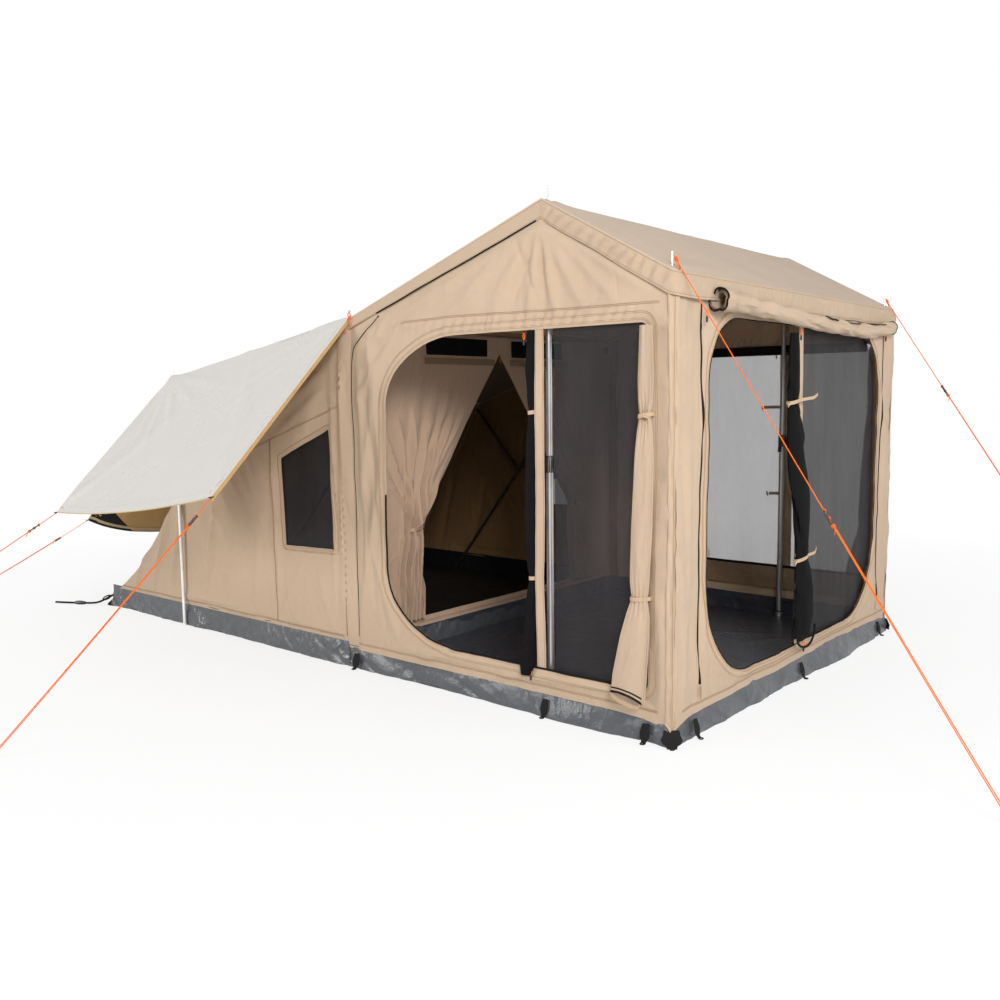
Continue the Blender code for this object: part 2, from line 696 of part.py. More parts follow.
def make_folding_frame():
    """Legs, knuckles, two-part braces and the rear hoop; each rod swings in its own plane."""
    for side, word in SIDES:
        cylinder(
            f"front_leg_{word}", (side * LEG_X, KNUCKLE, ON_FLOOR),
            (side * LEG_X, KNUCKLE, KNUCKLE_BOTTOM - TOUCH_GAP), LEG_RADIUS, "dark_tube", 16,
        )
        x = side * PIVOT_X
        block_x = sorted((side * (PIVOT_X + EAR_X - PLATE / 2), side * (LEG_X + 0.018)))
        knuckle = box(
            f"knuckle_{word}", (block_x[0], KNUCKLE - 0.0138, KNUCKLE_BOTTOM),
            (block_x[1], KNUCKLE + 0.018, KNUCKLE_TOP), "plastic",
        )
        bridge_x = sorted((side * (PIVOT_X - EAR_X - PLATE / 2), side * LEG_X))
        ears = [box(
            f"knuckle_bridge_{word}", (bridge_x[0], KNUCKLE - 0.0133, KNUCKLE_BOTTOM + 0.010),
            (bridge_x[1], KNUCKLE + 0.016, KNUCKLE_TOP - 0.002), "plastic",
        )]
        for ear, at in (("inner", -EAR_X), ("outer", EAR_X)):
            middle = x + side * at
            ears.append(box(
                f"knuckle_ear_{ear}_{word}", (middle - PLATE / 2, KNUCKLE - 0.010, PIVOT[1] - 0.016),
                (middle + PLATE / 2, PIVOT[0] + 0.016, PIVOT[1] + 0.012), "plastic",
            ))
        join(knuckle, ears)
        upper = jointed_rod(f"brace_upper_{word}", x, PIVOT, HUB, PIVOT_EYE_RADIUS, EYE_RADIUS, "dark_tube")
        lower = jointed_rod(f"brace_lower_{word}", side * LOWER_X, HUB, FOOT, EYE_RADIUS, 0, "dark_tube")
        for rod_object, at in ((upper, PIVOT), (lower, HUB)):
            move_origin(rod_object, (rod_object.location.x, *at))
    reach = PIVOT_X - EAR_X - PLATE / 2 - TOUCH_GAP
    bar_z = (KNUCKLE_TOP + KNUCKLE_BOTTOM) / 2 + 0.004
    cylinder("front_bar", (-reach, KNUCKLE, bar_z), (reach, KNUCKLE, bar_z), BAR_RADIUS, "dark_tube", 16)
    make_hoop()


def move_origin(obj, point):
    """Put the object's origin on its joint's axis and leave its faces where they are."""
    shift = obj.matrix_basis.inverted() @ Vector(point)
    obj.data.transform(Matrix.Translation(-shift))
    obj.location = point


def make_hoop():
    """One bent tube: a strut from each hub up to the roof's back edge, and the bar across."""
    corner_y = ROOF_BACK - 0.026
    flat_radius = BAR_RADIUS * math.cos(math.pi / 8)
    corner_z = roof_height(corner_y) - (CANVAS + flat_radius) * math.hypot(1, BACK_SLOPE) - TOUCH_GAP
    down = Vector((0, HUB[0] - corner_y, HUB[1] - corner_z)).normalized()
    half = []
    corner = Vector((HOOP_X, corner_y, corner_z))
    centre = corner + (Vector((-1, 0, 0)) + down) * HOOP_BEND
    half.append(Vector((HOOP_X, *HUB)))
    bends = 5
    for step in range(bends + 1):
        angle = math.pi / 2 * step / bends
        outward, back = HOOP_BEND * math.cos(angle), HOOP_BEND * math.sin(angle)
        half.append(centre + Vector((1, 0, 0)) * outward - down * back)
    mirrored = [Vector((-p.x, p.y, p.z)) for p in reversed(half)]
    hoop = as_mesh(rod("rear_hoop", half + mirrored, BAR_RADIUS, "dark_tube"), "dark_tube")
    join(hoop, [cross_disc(f"hoop_end_{word}", side * HOOP_X, HUB, EYE_RADIUS) for side, word in SIDES])
    move_origin(hoop, (0, *HUB))


def pole_tube(name, x, y, outer, inner, split):
    """Lower tube with its foot and the collar that clamps the upper tube; open at the top."""
    collar, foot = outer + COLLAR_GROWTH, outer + POLE_FOOT_GROWTH
    profile = [
        (0, POLE_FOOT), (inner, POLE_FOOT), (inner, split), (collar, split),
        (collar, split - COLLAR_HEIGHT), (outer, split - COLLAR_HEIGHT), (outer, POLE_FOOT),
        (foot, POLE_FOOT - 0.005), (foot, 0), (0, 0),
    ]
    obj = turned(name, profile, "silver_tube")
    obj.location = (x, y, ON_FLOOR)
    return obj


def pole_top(name, x, y, radius, bottom, top, spigot_top):
    """Upper tube that slides in the lower one, with the spigot through the roof."""
    profile = [
        (0, spigot_top), (SPIGOT_RADIUS, spigot_top), (SPIGOT_RADIUS, top), (radius, top),
        (radius, bottom), (0, bottom),
    ]
    obj = turned(name, [(r, z - bottom) for r, z in profile], "silver_tube")
    obj.location = (x, y, bottom)
    return obj


def make_poles():
    kinds = (
        ("ridge", RIDGE, RIDGE_TUBE_OUTER, RIDGE_TUBE_INNER, RIDGE_SPLIT),
        ("corner", CORNER_POLE_Y, CORNER_TUBE_OUTER, CORNER_TUBE_INNER, CORNER_SPLIT),
    )
    for kind, y, outer, inner, split in kinds:
        for side, word in SIDES:
            x = side * POLE_X
            pole_tube(f"{kind}_pole_lower_{word}", x, y, outer, inner, split)
            radius = inner - TOUCH_GAP
            under = roof_height(y) - ROOF_DEPTH - radius * FRONT_SLOPE - SEAM_GAP
            bottom = ON_FLOOR + POLE_FOOT + POLE_DROP + 0.01
            pole_top(
                f"{kind}_pole_upper_{word}", x, y, radius, bottom, under, roof_height(y) + SPIGOT_HEIGHT
            )
    for side, word in SIDES:
        make_lever(side, word)
        x, y, height = side * FLY_POLE[0], FRONT + FLY_POLE[1], FLY_POLE[2]
        foot = FLY_POLE_RADIUS + FLY_POLE_FOOT_GROWTH
        profile = [
            (0, height + SPIGOT_HEIGHT - 0.015), (SPIGOT_RADIUS, height + SPIGOT_HEIGHT - 0.015),
            (SPIGOT_RADIUS, height - FLY_POLE_CLEARANCE), (FLY_POLE_RADIUS, height - FLY_POLE_CLEARANCE),
            (FLY_POLE_RADIUS, FLY_POLE_FOOT + 0.005), (foot, FLY_POLE_FOOT), (foot, 0), (0, 0),
        ]
        pole = turned(f"fly_pole_{word}", profile, "silver_tube", 12)
        pole.location = (x, y, 0)


def make_lever(side, word):
    """Clamp lever that hangs beside the collar of a ridge pole, with its origin on its hinge."""
    pivot_x = side * (POLE_X - RIDGE_TUBE_OUTER - COLLAR_GROWTH - LEVER_RADIUS - TOUCH_GAP)
    pivot_z = ON_FLOOR + RIDGE_SPLIT - 0.02
    r = LEVER_RADIUS
    arc = [(r * math.cos(a), r * math.sin(a)) for a in (math.pi * k / 6 for k in range(7))]
    tip = -side * 0.012
    bend = -LEVER_LENGTH * 0.6
    outline = arc + [(-r, bend), (tip - r * 0.6, -LEVER_LENGTH), (tip + r * 0.6, -LEVER_LENGTH), (r, bend)]
    flat_piece(f"ridge_lever_{word}", [outline], "front", RIDGE, LEVER_WIDTH, "plastic", (pivot_x, pivot_z))


def fly_point(across, along):
    """Fly sheet's top face: across runs from -2 at one wing's edge to 2 at the other's."""
    side = -1 if across < 0 else 1
    ridge_x = HALF + (FLY_POLE[0] - HALF) * along
    ridge_y = FRONT + FLY_FRONT + (FLY_POLE[1] - FLY_FRONT) * along
    front_z = roof_height(FRONT + FLY_FRONT) + FLY_LIFT
    ridge_z = front_z + (FLY_POLE[2] - front_z) * along
    if abs(across) <= 1:
        return (ridge_x * across, ridge_y, ridge_z)
    out = abs(across) - 1
    edge_x, edge_front, edge_rear = FLY_CORNER
    edge_y = FRONT + FLY_FRONT + (FLY_REAR - FLY_FRONT) * along
    edge_z = edge_front + (edge_rear - edge_front) * along - FLY_EDGE_SAG * 4 * along * (1 - along)
    belly = -FLY_WING_BELLY * 4 * out * (1 - out) * 4 * along * (1 - along)
    return (
        side * (ridge_x + (edge_x - ridge_x) * out), ridge_y + (edge_y - ridge_y) * out,
        ridge_z + (edge_z - ridge_z) * out + belly,
    )


def tail_point(across, down):
    """Fly sheet's rear flap, from the pole line down to its sagging edge."""
    start = fly_point(across, 1)
    tail_x, tail_y, tail_z = FLY_TAIL
    dip = FLY_TAIL_DIP * (1 - across ** 4)
    end = (tail_x * across, FRONT + tail_y, tail_z - dip)
    hang = -FLY_TAIL_BELLY * 4 * down * (1 - down) * (1 - across ** 2)
    x, y, z = (a + (b - a) * down for a, b in zip(start, end))
    return (x, y, z + hang)


def make_fly():
    across = [-2, -1.667, -1.333, -1, -0.5, 0, 0.5, 1, 1.333, 1.667, 2]
    along = [0, 0.25, 0.5, 0.75, 1]
    points = [fly_point(u, v) for v in along for u in across]
    wide = len(across)
    faces = [
        (r * wide + c, r * wide + c + 1, (r + 1) * wide + c + 1, (r + 1) * wide + c)
        for r in range(len(along) - 1) for c in range(wide - 1)
    ]
    centre = range(3, 8)
    upper = [(len(along) - 1) * wide + c for c in centre]
    for down in (0.25, 0.5, 0.75, 1):
        lower = list(range(len(points), len(points) + len(upper)))
        points += [tail_point(across[c], down) for c in centre]
        faces += [(upper[k], upper[k + 1], lower[k + 1], lower[k]) for k in range(len(upper) - 1)]
        upper = lower
    fly = shell("fly_sheet", points, faces, CANVAS, "fly")
    for side, word in SIDES:
        drill(fly, grommet(f"fly_grommet_{word}", side * FLY_POLE[0], FRONT + FLY_POLE[1], FLY_POLE[2]))


def spigot_tie(y, height):
    """Where a rope starts at a spigot, for the right-hand side."""
    return Vector((POLE_X, y - SPIGOT_RADIUS - ROPE_RADIUS - TOUCH_GAP, height + SPIGOT_HEIGHT - 0.014))


def corner_tie(corner, beside, behind, peg):
    """Where a rope starts at a corner of the fly sheet: at half its thickness, just past the corner."""
    corner = Vector(corner)
    normal = (Vector(beside) - corner).cross(Vector(behind) - corner).normalized()
    if normal.z < 0:
        normal = -normal
    start = corner - normal * CANVAS / 2
    away = Vector((*peg, PEG_HEIGHT)) - start
    return start + away.normalized() * (ROPE_RADIUS / 2)


# Each rope: where it is tied, its peg, and the tensioner's share of the way; for the right-hand side
PEGS = {
    "awning": (1.15, FRONT - 1.18), "wing_front": (2.87, FRONT + 2.0), "wing_rear": (2.88, FRONT + 4.01),
    "tail": (1.27, FRONT + 5.93),
}
TIES = {
    "awning": spigot_tie(CORNER_POLE_Y, roof_height(CORNER_POLE_Y)),
    "wing_front": corner_tie(fly_point(2, 0), fly_point(1.9, 0), fly_point(2, 0.1), PEGS["wing_front"]),
    "wing_rear": corner_tie(fly_point(2, 1), fly_point(1.9, 1), fly_point(2, 0.9), PEGS["wing_rear"]),
    "tail": corner_tie(tail_point(1, 1), tail_point(0.9, 1), tail_point(1, 0.9), PEGS["tail"]),
}
TENSIONER_SHARES = {"awning": 0.50, "wing_front": 0.10, "wing_rear": 0.10, "tail": 0.30}
AWNING_RIGHT_SHARE = 0.27
TENSIONED = (("awning", "left"), ("awning", "right"), ("wing_front", "left"), ("tail", "left"))


def rope_line(tie, peg, side):
    """The rope's tie and peg in space, its direction, and the level direction across it."""
    start = Vector((side * tie[0], tie[1], tie[2]))
    end = Vector((side * peg[0], peg[1], PEG_HEIGHT))
    along = (end - start).normalized()
    return start, end, along, along.cross(Vector((0, 0, 1))).normalized()


def rope_route(tie, peg, side, share):
    """From the tie to the peg, round it and back to the tensioner's lower end, slightly slack."""
    start, end, along, across = rope_line(tie, peg, side)
    length = (end - start).length

    def at(part, offset):
        sag = ROPE_SAG * length * 4 * part * (1 - part)
        return start + (end - start) * part + across * offset - Vector((0, 0, sag))

    spread = [0, share * 0.5, share, share + (1 - share) * 0.4, share + (1 - share) * 0.8, 1]
    points = [at(part, ROPE_STRANDS * max(0, part - share) / (1 - share)) for part in spread]
    for step in range(1, 7):
        angle = math.pi * step / 6
        points.append(end + (across * math.cos(angle) + along * math.sin(angle)) * ROPE_STRANDS)
    stop = share + (TENSIONER_LENGTH / 2 + ROPE_RADIUS) / length
    back = [1 - (1 - stop) * part for part in (0.2, 0.6, 1)]
    for part in back:
        points.append(at(part, -ROPE_STRANDS))
    return points


def make_ropes():
    for kind, share in TENSIONER_SHARES.items():
        tie, peg = TIES[kind], PEGS[kind]
        for side, word in SIDES:
            part = AWNING_RIGHT_SHARE if (kind, word) == ("awning", "right") else share
            rod(f"guy_rope_{kind}_{word}", rope_route(tie, peg, side, part), ROPE_RADIUS, "rope")
            if (kind, word) in TENSIONED:
                make_tensioner(f"tensioner_{kind}_{word}", rope_line(tie, peg, side), part)


def make_tensioner(name, line, share):
    """Short sleeve that grips the rope, and slides along it."""
    start, end, along, _ = line
    length = (end - start).length
    half = TENSIONER_LENGTH / 2
    profile = [
        (TENSIONER_BORE, half), (TENSIONER_RADIUS, half), (TENSIONER_RADIUS, -half), (TENSIONER_BORE, -half),
    ]
    obj = turned(name, profile + profile[:1], "plastic", 12)
    sag = Vector((0, 0, ROPE_SAG * length * 4 * share * (1 - share)))
    obj.location = start + (end - start) * share - sag
    obj.rotation_euler = along.to_track_quat("Z", "Y").to_euler()


ZIP_X = 1.0
ZIP_TOP = 1.615
SLIDER_HALF_WIDTH, SLIDER_HALF_HEIGHT, SLIDER_DEPTH = 0.006, 0.012, 0.006
PULL_HALF_WIDTH, PULL_LENGTH = 0.004, 0.045


def make_zip_sliders():
    """The sliders of the front panel's two upright zips, at the top of their travel."""
    for side, word in SIDES:
        x, face = side * ZIP_X, FRONT - TOUCH_GAP
        slider = box(
            f"zip_slider_{word}", (x - SLIDER_HALF_WIDTH, face - SLIDER_DEPTH, ZIP_TOP - SLIDER_HALF_HEIGHT),
            (x + SLIDER_HALF_WIDTH, face, ZIP_TOP + SLIDER_HALF_HEIGHT), "plastic",
        )
        pull = box(
            f"zip_pull_{word}", (x - PULL_HALF_WIDTH, face - SLIDER_DEPTH + 0.001, ZIP_TOP - PULL_LENGTH),
            (x + PULL_HALF_WIDTH, face - 0.002, ZIP_TOP), "plastic",
        )
        join(slider, [pull])


make_ground_sheets()
make_front_room()
make_tied_cloth()
make_main_tent()
make_folding_frame()
make_poles()
make_fly()
make_ropes()
make_zip_sliders()
bpy.context.view_layer.update()
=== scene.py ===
"""The looks of a touring tent with a front room: canvas, nets, ground sheets, fly sheet, poles and ropes.

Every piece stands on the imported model, in metres, with Z up. X runs across the tent and Y from
the front door to the back. The sizes below repeat those of the model's source.
"""

import json
import math

import bpy
import numpy as np
from mathutils import Matrix, Vector
from mathutils.geometry import delaunay_2d_cdt


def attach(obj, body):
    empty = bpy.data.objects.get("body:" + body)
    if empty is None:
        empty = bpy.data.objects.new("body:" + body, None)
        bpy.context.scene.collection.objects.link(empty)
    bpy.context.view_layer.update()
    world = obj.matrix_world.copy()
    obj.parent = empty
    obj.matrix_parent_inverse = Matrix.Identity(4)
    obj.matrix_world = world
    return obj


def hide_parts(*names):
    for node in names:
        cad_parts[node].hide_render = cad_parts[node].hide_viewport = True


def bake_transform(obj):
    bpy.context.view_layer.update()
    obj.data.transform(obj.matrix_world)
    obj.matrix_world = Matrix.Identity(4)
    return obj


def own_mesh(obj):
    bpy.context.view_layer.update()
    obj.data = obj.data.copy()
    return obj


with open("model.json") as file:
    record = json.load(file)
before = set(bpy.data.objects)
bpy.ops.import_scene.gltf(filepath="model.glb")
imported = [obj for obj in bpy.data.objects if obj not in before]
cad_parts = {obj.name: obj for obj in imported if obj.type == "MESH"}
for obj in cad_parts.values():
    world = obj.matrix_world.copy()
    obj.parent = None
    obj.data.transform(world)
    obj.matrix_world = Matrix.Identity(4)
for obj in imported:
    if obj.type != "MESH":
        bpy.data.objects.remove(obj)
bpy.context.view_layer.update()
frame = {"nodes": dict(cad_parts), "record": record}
NODES = frame["nodes"]

# Main sizes of the tent
HALF = 1.19
FRONT = -2.1325
REAR = 2.1325
RIDGE = FRONT + 0.612
KNUCKLE = FRONT + 1.889
JOIN = KNUCKLE - 0.089
ROOF_BACK = FRONT + 3.07
RIDGE_HEIGHT = 2.15
EAVE_HEIGHT = 1.811
KNUCKLE_HEIGHT = 1.715
FRONT_SLOPE = (RIDGE_HEIGHT - EAVE_HEIGHT) / (RIDGE - FRONT)
BACK_SLOPE = (RIDGE_HEIGHT - KNUCKLE_HEIGHT) / (KNUCKLE - RIDGE)
MAIN_FRONT = KNUCKLE - 0.0185
CANVAS = 0.004
CLOTH = 0.0024
THIN_CLOTH = 0.0016
EAVE_VALANCE = 0.096
RIDGE_VALANCE = 0.078
JOIN_VALANCE = 0.055
MAIN_HEM = 0.14
ROOM_HEM = 0.11
HEM_GAP = 0.012
REAR_HEM_SLOPE = 0.11
REAR_SAG = 0.155
PIPING_RADIUS = 0.0045
EDGE_ROUND = 0.018
ROOM_RELIEF = 0.024
MAIN_RELIEF = 0.028
SIDES = ((-1, "left"), (1, "right"))

# Doors and the window, in distances from the front of the tent
SIDE_DOOR = (0.11, 1.56, 0.21, 1.63)
SIDE_DOOR_ROUND = (0.46, 0.34)
SIDE_MULLION = 0.628
FRONT_DOOR = (-0.94, 0.94, 0.18, 1.66)
FRONT_MULLION = -0.045
MULLION_WIDTH = 0.046
DOORWAY = (-0.72, 0.72, 0.16, 1.60)
WINDOW = ((1.953, 0.591), (2.365, 0.579), (2.372, 1.047), (1.971, 1.206))
CURTAIN_TIE_HEIGHT = 0.664
FLAP_TIES = (1.28, 0.576)

# Nets, seams and stitches; FAR is past every edge
FAR = 9
NET_OVERLAP = 0.012
NET_SETBACK = 0.012
SEAM_STEP = 0.012
PANEL_STEP = 0.0135
STITCH_WIDTH, STITCH_HEIGHT, STITCH_ROWS = 0.0018, 0.0026, 0.006
ZIP_HEIGHT = 0.0042

# Where the cloth walls keep their materials in their lists of looks
OUTSIDE, INSIDE, THREAD, BINDING, CORD, GRIP, BASE_BAND = range(7)

# Poles and fly sheet
POLE_X = 1.15
CORNER_POLE_Y = FRONT + 0.035
SPIGOT_RADIUS = 0.003
SPIGOT_HEIGHT = 0.055
FLY_CORNER = (2.0, 0.943, 0.778)
FLY_FRONT = 1.797
FLY_REAR = 3.25
FLY_POLE = (1.22, 3.35, 1.494)
FLY_LIFT = 0.0069
FLY_TAIL = (1.10, 4.733, 0.532)
FLY_TAIL_DIP = 0.15
FLY_EDGE_SAG = 0.03

# Ropes
ROPE_RADIUS = 0.002
ROPE_SAG = 0.004
ROPE_STRANDS = 0.008
PEG_HEIGHT = 0.016
TENSIONER_LENGTH = 0.050

# The camera, as the photograph was taken
CAMERA_PLACE = (-4.3433, -3.9504, 1.3547)
CAMERA_YAW, CAMERA_PITCH, CAMERA_ROLL = 0.868, 0.1066, -0.0124
FOCAL_PIXELS, FRAME_PIXELS = 959.798, 1000

# The studio; each lamp has its place, target, width and power, and the floor turns plain white farther out
LAMPS = (
    ("key_lamp", (-6.6, -7.6, 4.4), (0, -0.6, 0.9), 2.6, 640),
    ("side_lamp", (-8.2, 4.6, 2.6), (0, 0, 0.9), 2.6, 300),
    ("fill_lamp", (1.5, -10.0, 3.0), (0, -0.5, 0.9), 5.0, 190),
)
WHITE = (1, 1, 1, 1)
SKY_STRENGTH = 0.50
FLOOR_REACH, FLOOR_HEIGHT = 40, -0.001
FLOOR_FADE, FLOOR_SHARES = (1.5, 5.5), (0.72, 1.0)


def roof_height(y):
    if y < RIDGE:
        return EAVE_HEIGHT + (y - FRONT) * FRONT_SLOPE
    return RIDGE_HEIGHT - (y - RIDGE) * BACK_SLOPE


ROOF_BACK_HEIGHT = roof_height(ROOF_BACK)


def make_camera():
    data = bpy.data.cameras.new("camera")
    data.sensor_width = 36
    data.lens = data.sensor_width * FOCAL_PIXELS / FRAME_PIXELS
    data.clip_start, data.clip_end = 0.05, 200
    camera = bpy.data.objects.new("camera", data)
    bpy.context.scene.collection.objects.link(camera)
    sy, cy = math.sin(CAMERA_YAW), math.cos(CAMERA_YAW)
    sp, cp = math.sin(CAMERA_PITCH), math.cos(CAMERA_PITCH)
    ahead = Vector((sy * cp, cy * cp, -sp))
    right = Vector((cy, -sy, 0))
    up = right.cross(ahead)
    cr, sr = math.cos(CAMERA_ROLL), math.sin(CAMERA_ROLL)
    right, up = cr * right + sr * up, cr * up - sr * right
    axes = Matrix((right, up, -ahead)).transposed()
    camera.matrix_world = Matrix.Translation(CAMERA_PLACE) @ axes.to_4x4()
    bpy.context.scene.camera = camera


def lamp(name, place, target, size, power):
    data = bpy.data.lights.new(name, "AREA")
    data.shape = "DISK"
    data.size = size
    data.energy = power
    obj = bpy.data.objects.new(name, data)
    bpy.context.scene.collection.objects.link(obj)
    obj.location = place
    obj.rotation_euler = (Vector(target) - Vector(place)).to_track_quat("-Z", "Y").to_euler()


def seen_rays(tree):
    """1 for what the camera sees, straight on, mirrored or through glass."""
    rays = tree.nodes.new("ShaderNodeLightPath")
    total = rays.outputs["Is Camera Ray"]
    for name in ("Is Glossy Ray", "Is Transmission Ray"):
        most = tree.nodes.new("ShaderNodeMath")
        most.operation = "MAXIMUM"
        tree.links.new(total, most.inputs[0])
        tree.links.new(rays.outputs[name], most.inputs[1])
        total = most.outputs[0]
    return total


def make_studio():
    """White surroundings, three large soft lamps, and a white floor that keeps the shadow."""
    bpy.context.scene.view_settings.view_transform = "Standard"
    world = bpy.data.worlds.new("studio")
    bpy.context.scene.world = world
    world.use_nodes = True
    tree = world.node_tree
    tree.nodes.clear()
    out = tree.nodes.new("ShaderNodeOutputWorld")
    mix = tree.nodes.new("ShaderNodeMixShader")
    tree.links.new(seen_rays(tree), mix.inputs["Fac"])
    for socket, strength in ((1, SKY_STRENGTH), (2, 1.0)):
        white = tree.nodes.new("ShaderNodeBackground")
        white.inputs["Color"].default_value = WHITE
        white.inputs["Strength"].default_value = strength
        tree.links.new(white.outputs[0], mix.inputs[socket])
    tree.links.new(mix.outputs[0], out.inputs["Surface"])
    for settings in LAMPS:
        lamp(*settings)
    floor = bpy.data.meshes.new("studio_floor")
    corners = [(x, y, FLOOR_HEIGHT) for x, y in box(-FLOOR_REACH, -FLOOR_REACH, FLOOR_REACH, FLOOR_REACH)]
    floor.from_pydata(corners, [], [(0, 1, 2, 3)])
    obj = bpy.data.objects.new("studio_floor", floor)
    bpy.context.scene.collection.objects.link(obj)
    obj.data.materials.append(floor_material())


def floor_material():
    """Lit white near the tent, with its shadow, and plain white farther out."""
    tree = Tree("studio_floor")
    tree.set(Base_Color=(0.93, 0.93, 0.93, 1), Roughness=0.9, Specular_IOR_Level=0.1)
    place = tree.node("ShaderNodeTexCoord").outputs["Object"]
    away = tree.node("ShaderNodeVectorMath", {0: place}, operation="LENGTH").outputs["Value"]
    share = tree.math("MULTIPLY", tree.spread(away, *FLOOR_FADE, *FLOOR_SHARES), seen_rays(tree))
    tree.cover(share, tree.node("ShaderNodeEmission", {"Color": WHITE}))
    return tree.material


# Materials: each is a small node tree on the flat place of the cloth, in metres

class Tree:
    """A material's nodes, made one after another."""

    def __init__(self, name):
        self.material = bpy.data.materials.new(name)
        self.material.use_nodes = True
        self.nodes, self.links = self.material.node_tree.nodes, self.material.node_tree.links
        self.shader = self.nodes["Principled BSDF"]
        self.bump = None

    def put(self, socket, value):
        """Link a socket to another node's output, or set its value."""
        if isinstance(value, bpy.types.NodeSocket):
            self.links.new(value, socket)
        else:
            socket.default_value = value

    def node(self, kind, inputs=(), **settings):
        made = self.nodes.new(kind)
        for key, value in settings.items():
            setattr(made, key, value)
        for socket, value in dict(inputs).items():
            self.put(made.inputs[socket], value)
        return made

    def place(self, scale=(1, 1, 1), turn=0.0, flat=True):
        source = self.node("ShaderNodeUVMap", uv_map="flat") if flat else self.node("ShaderNodeTexCoord")
        where = source.outputs["UV" if flat else "Object"]
        inputs = {"Vector": where, "Scale": scale, "Rotation": (0, 0, turn)}
        return self.node("ShaderNodeMapping", inputs).outputs[0]

    def noise(self, scale, detail=3.0, rough=0.5, stretch=(1, 1, 1), turn=0.0, flat=True):
        return self.node("ShaderNodeTexNoise", {
            "Vector": self.place(stretch, turn, flat), "Scale": scale, "Detail": detail, "Roughness": rough,
        }).outputs["Fac"]

    def crossed(self, operation, scale, first=0.0, second=math.pi / 2):
        """Two sets of threads, one across the other."""
        waves = [self.node("ShaderNodeTexWave", {"Vector": self.place(turn=turn), "Scale": scale})
                 for turn in (first, second)]
        return self.math(operation, *(wave.outputs["Fac"] for wave in waves))

    def creases(self, scale, turn, stretch, width, patches):
        """Thin winding ridges, in patches."""
        field = self.noise(scale, 2, 0.5, stretch, turn)
        away = self.math("ABSOLUTE", self.math("SUBTRACT", field, 0.5), 0.0)
        where = self.spread(self.noise(patches, 2), 0.42, 0.60)
        return self.math("MULTIPLY", self.spread(away, 0.0, width, 1.0, 0.0), where)

    def spread(self, value, low, high, to_low=0.0, to_high=1.0):
        return self.node("ShaderNodeMapRange", {
            "Value": value, "From Min": low, "From Max": high, "To Min": to_low, "To Max": to_high,
        }).outputs[0]

    def math(self, operation, first, second):
        return self.node("ShaderNodeMath", {0: first, 1: second}, operation=operation).outputs[0]

    def mix(self, share, first, second):
        return self.node("ShaderNodeMix", {0: share, 6: first, 7: second}, data_type="RGBA").outputs[2]

    def raise_by(self, height, depth, strength=1.0):
        inputs = {"Height": height, "Distance": depth, "Strength": strength}
        if self.bump is not None:
            inputs["Normal"] = self.bump
        self.bump = self.node("ShaderNodeBump", inputs).outputs[0]

    def set(self, **sockets):
        for name, value in sockets.items():
            self.put(self.shader.inputs[name.replace("_", " ")], value)
        if self.bump is not None:
            self.links.new(self.bump, self.shader.inputs["Normal"])
        return self.material

    def cover(self, share, other):
        """Mix the material's own shader with another one."""
        both = self.node("ShaderNodeMixShader", {0: share, 1: self.shader.outputs[0], 2: other.outputs[0]})
        self.links.new(both.outputs[0], self.nodes["Material Output"].inputs["Surface"])


def shade(colour, factor):
    return (*(channel * factor for channel in colour), 1.0)


PALE_FROM, SMOOTH_BELOW = 0.2, 0.002


def woven(name, colour, roughness=0.86, thread=0.0011, mottle=0.07, crumple=0.0035, glow=0.0, low_darkening=0.0):
    """Plain-weave cloth with soft mottling, creases and, where it is thin, light coming through."""
    tree, pale = Tree(name), max(colour) > PALE_FROM
    weave = tree.crossed("MULTIPLY", 0.5 / thread)
    large, fine = tree.noise(1.7, 4), tree.noise(38, 3, 0.6)
    tone = tree.mix(tree.spread(large, 0.3, 0.7), shade(colour, 1 - mottle), shade(colour, 1 + mottle * 0.7))
    tone = tree.mix(tree.spread(fine, 0.35, 0.65, 0.0, 0.22), tone, shade(colour, 0.86))
    tone = tree.mix(tree.spread(weave, 0, 1, 0.0, 0.16), tone, shade(colour, 1.12))
    # Darker towards the bottom of the cloth's flat place.
    if low_darkening:
        low = tree.node("ShaderNodeSeparateXYZ", {0: tree.place()}).outputs[1]
        tone = tree.mix(tree.spread(low, 0.45, 0.10, 0.0, low_darkening), tone, shade(colour, 0.55))
    tree.raise_by(weave, 0.0004, 0.5)
    if crumple > SMOOTH_BELOW:
        tree.raise_by(tree.noise(3.0, 3, 0.5, (1, 0.55, 1), 0.35), crumple * 5)
        tree.raise_by(tree.creases(5.0, 0.45, (1, 0.30, 1), 0.045, 2.2), crumple * 0.55)
        tree.raise_by(tree.creases(7.5, -0.55, (1, 0.35, 1), 0.05, 3.1), crumple * 0.40)
    tree.raise_by(tree.noise(9, 5, 0.55, (1, 0.55, 1), 0.5), crumple * 1.6)
    tree.raise_by(tree.noise(26, 4, 0.5, (1, 0.7, 1), 0.9), crumple * 0.45)
    tree.set(Base_Color=tone, Roughness=roughness, Sheen_Weight=0.12 if pale else 0.0,
             Specular_IOR_Level=0.25 if pale else 0.06)
    if glow:
        inputs = {"Color": shade(colour, 1.0), "Normal": tree.bump}
        tree.cover(glow, tree.node("ShaderNodeBsdfTranslucent", inputs))
    return tree.material


def netting(name, colour, cover, pitch=0.0022):
    """Fine net: dark threads with holes between them."""
    tree = Tree(name)
    thread, folds = tree.crossed("MAXIMUM", 0.5 / pitch), tree.noise(7, 3, 0.5, (1, 0.25, 1))
    # Painted shade and highlight: the net's colour is darker in the hollows of its folds and lighter on
    # their crests, from the same noise that bumps them.
    tone = tree.mix(tree.spread(folds, 0.35, 0.65), shade(colour, 0.75), shade(colour, 1.3))
    alpha = tree.spread(thread, 0.0, 1.0, cover - 0.18, min(1.0, cover + 0.12))
    tree.raise_by(thread, 0.0003, 0.5)
    tree.raise_by(folds, 0.004)
    return tree.set(Base_Color=tone, Roughness=0.7, Alpha=alpha, Specular_IOR_Level=0.3)


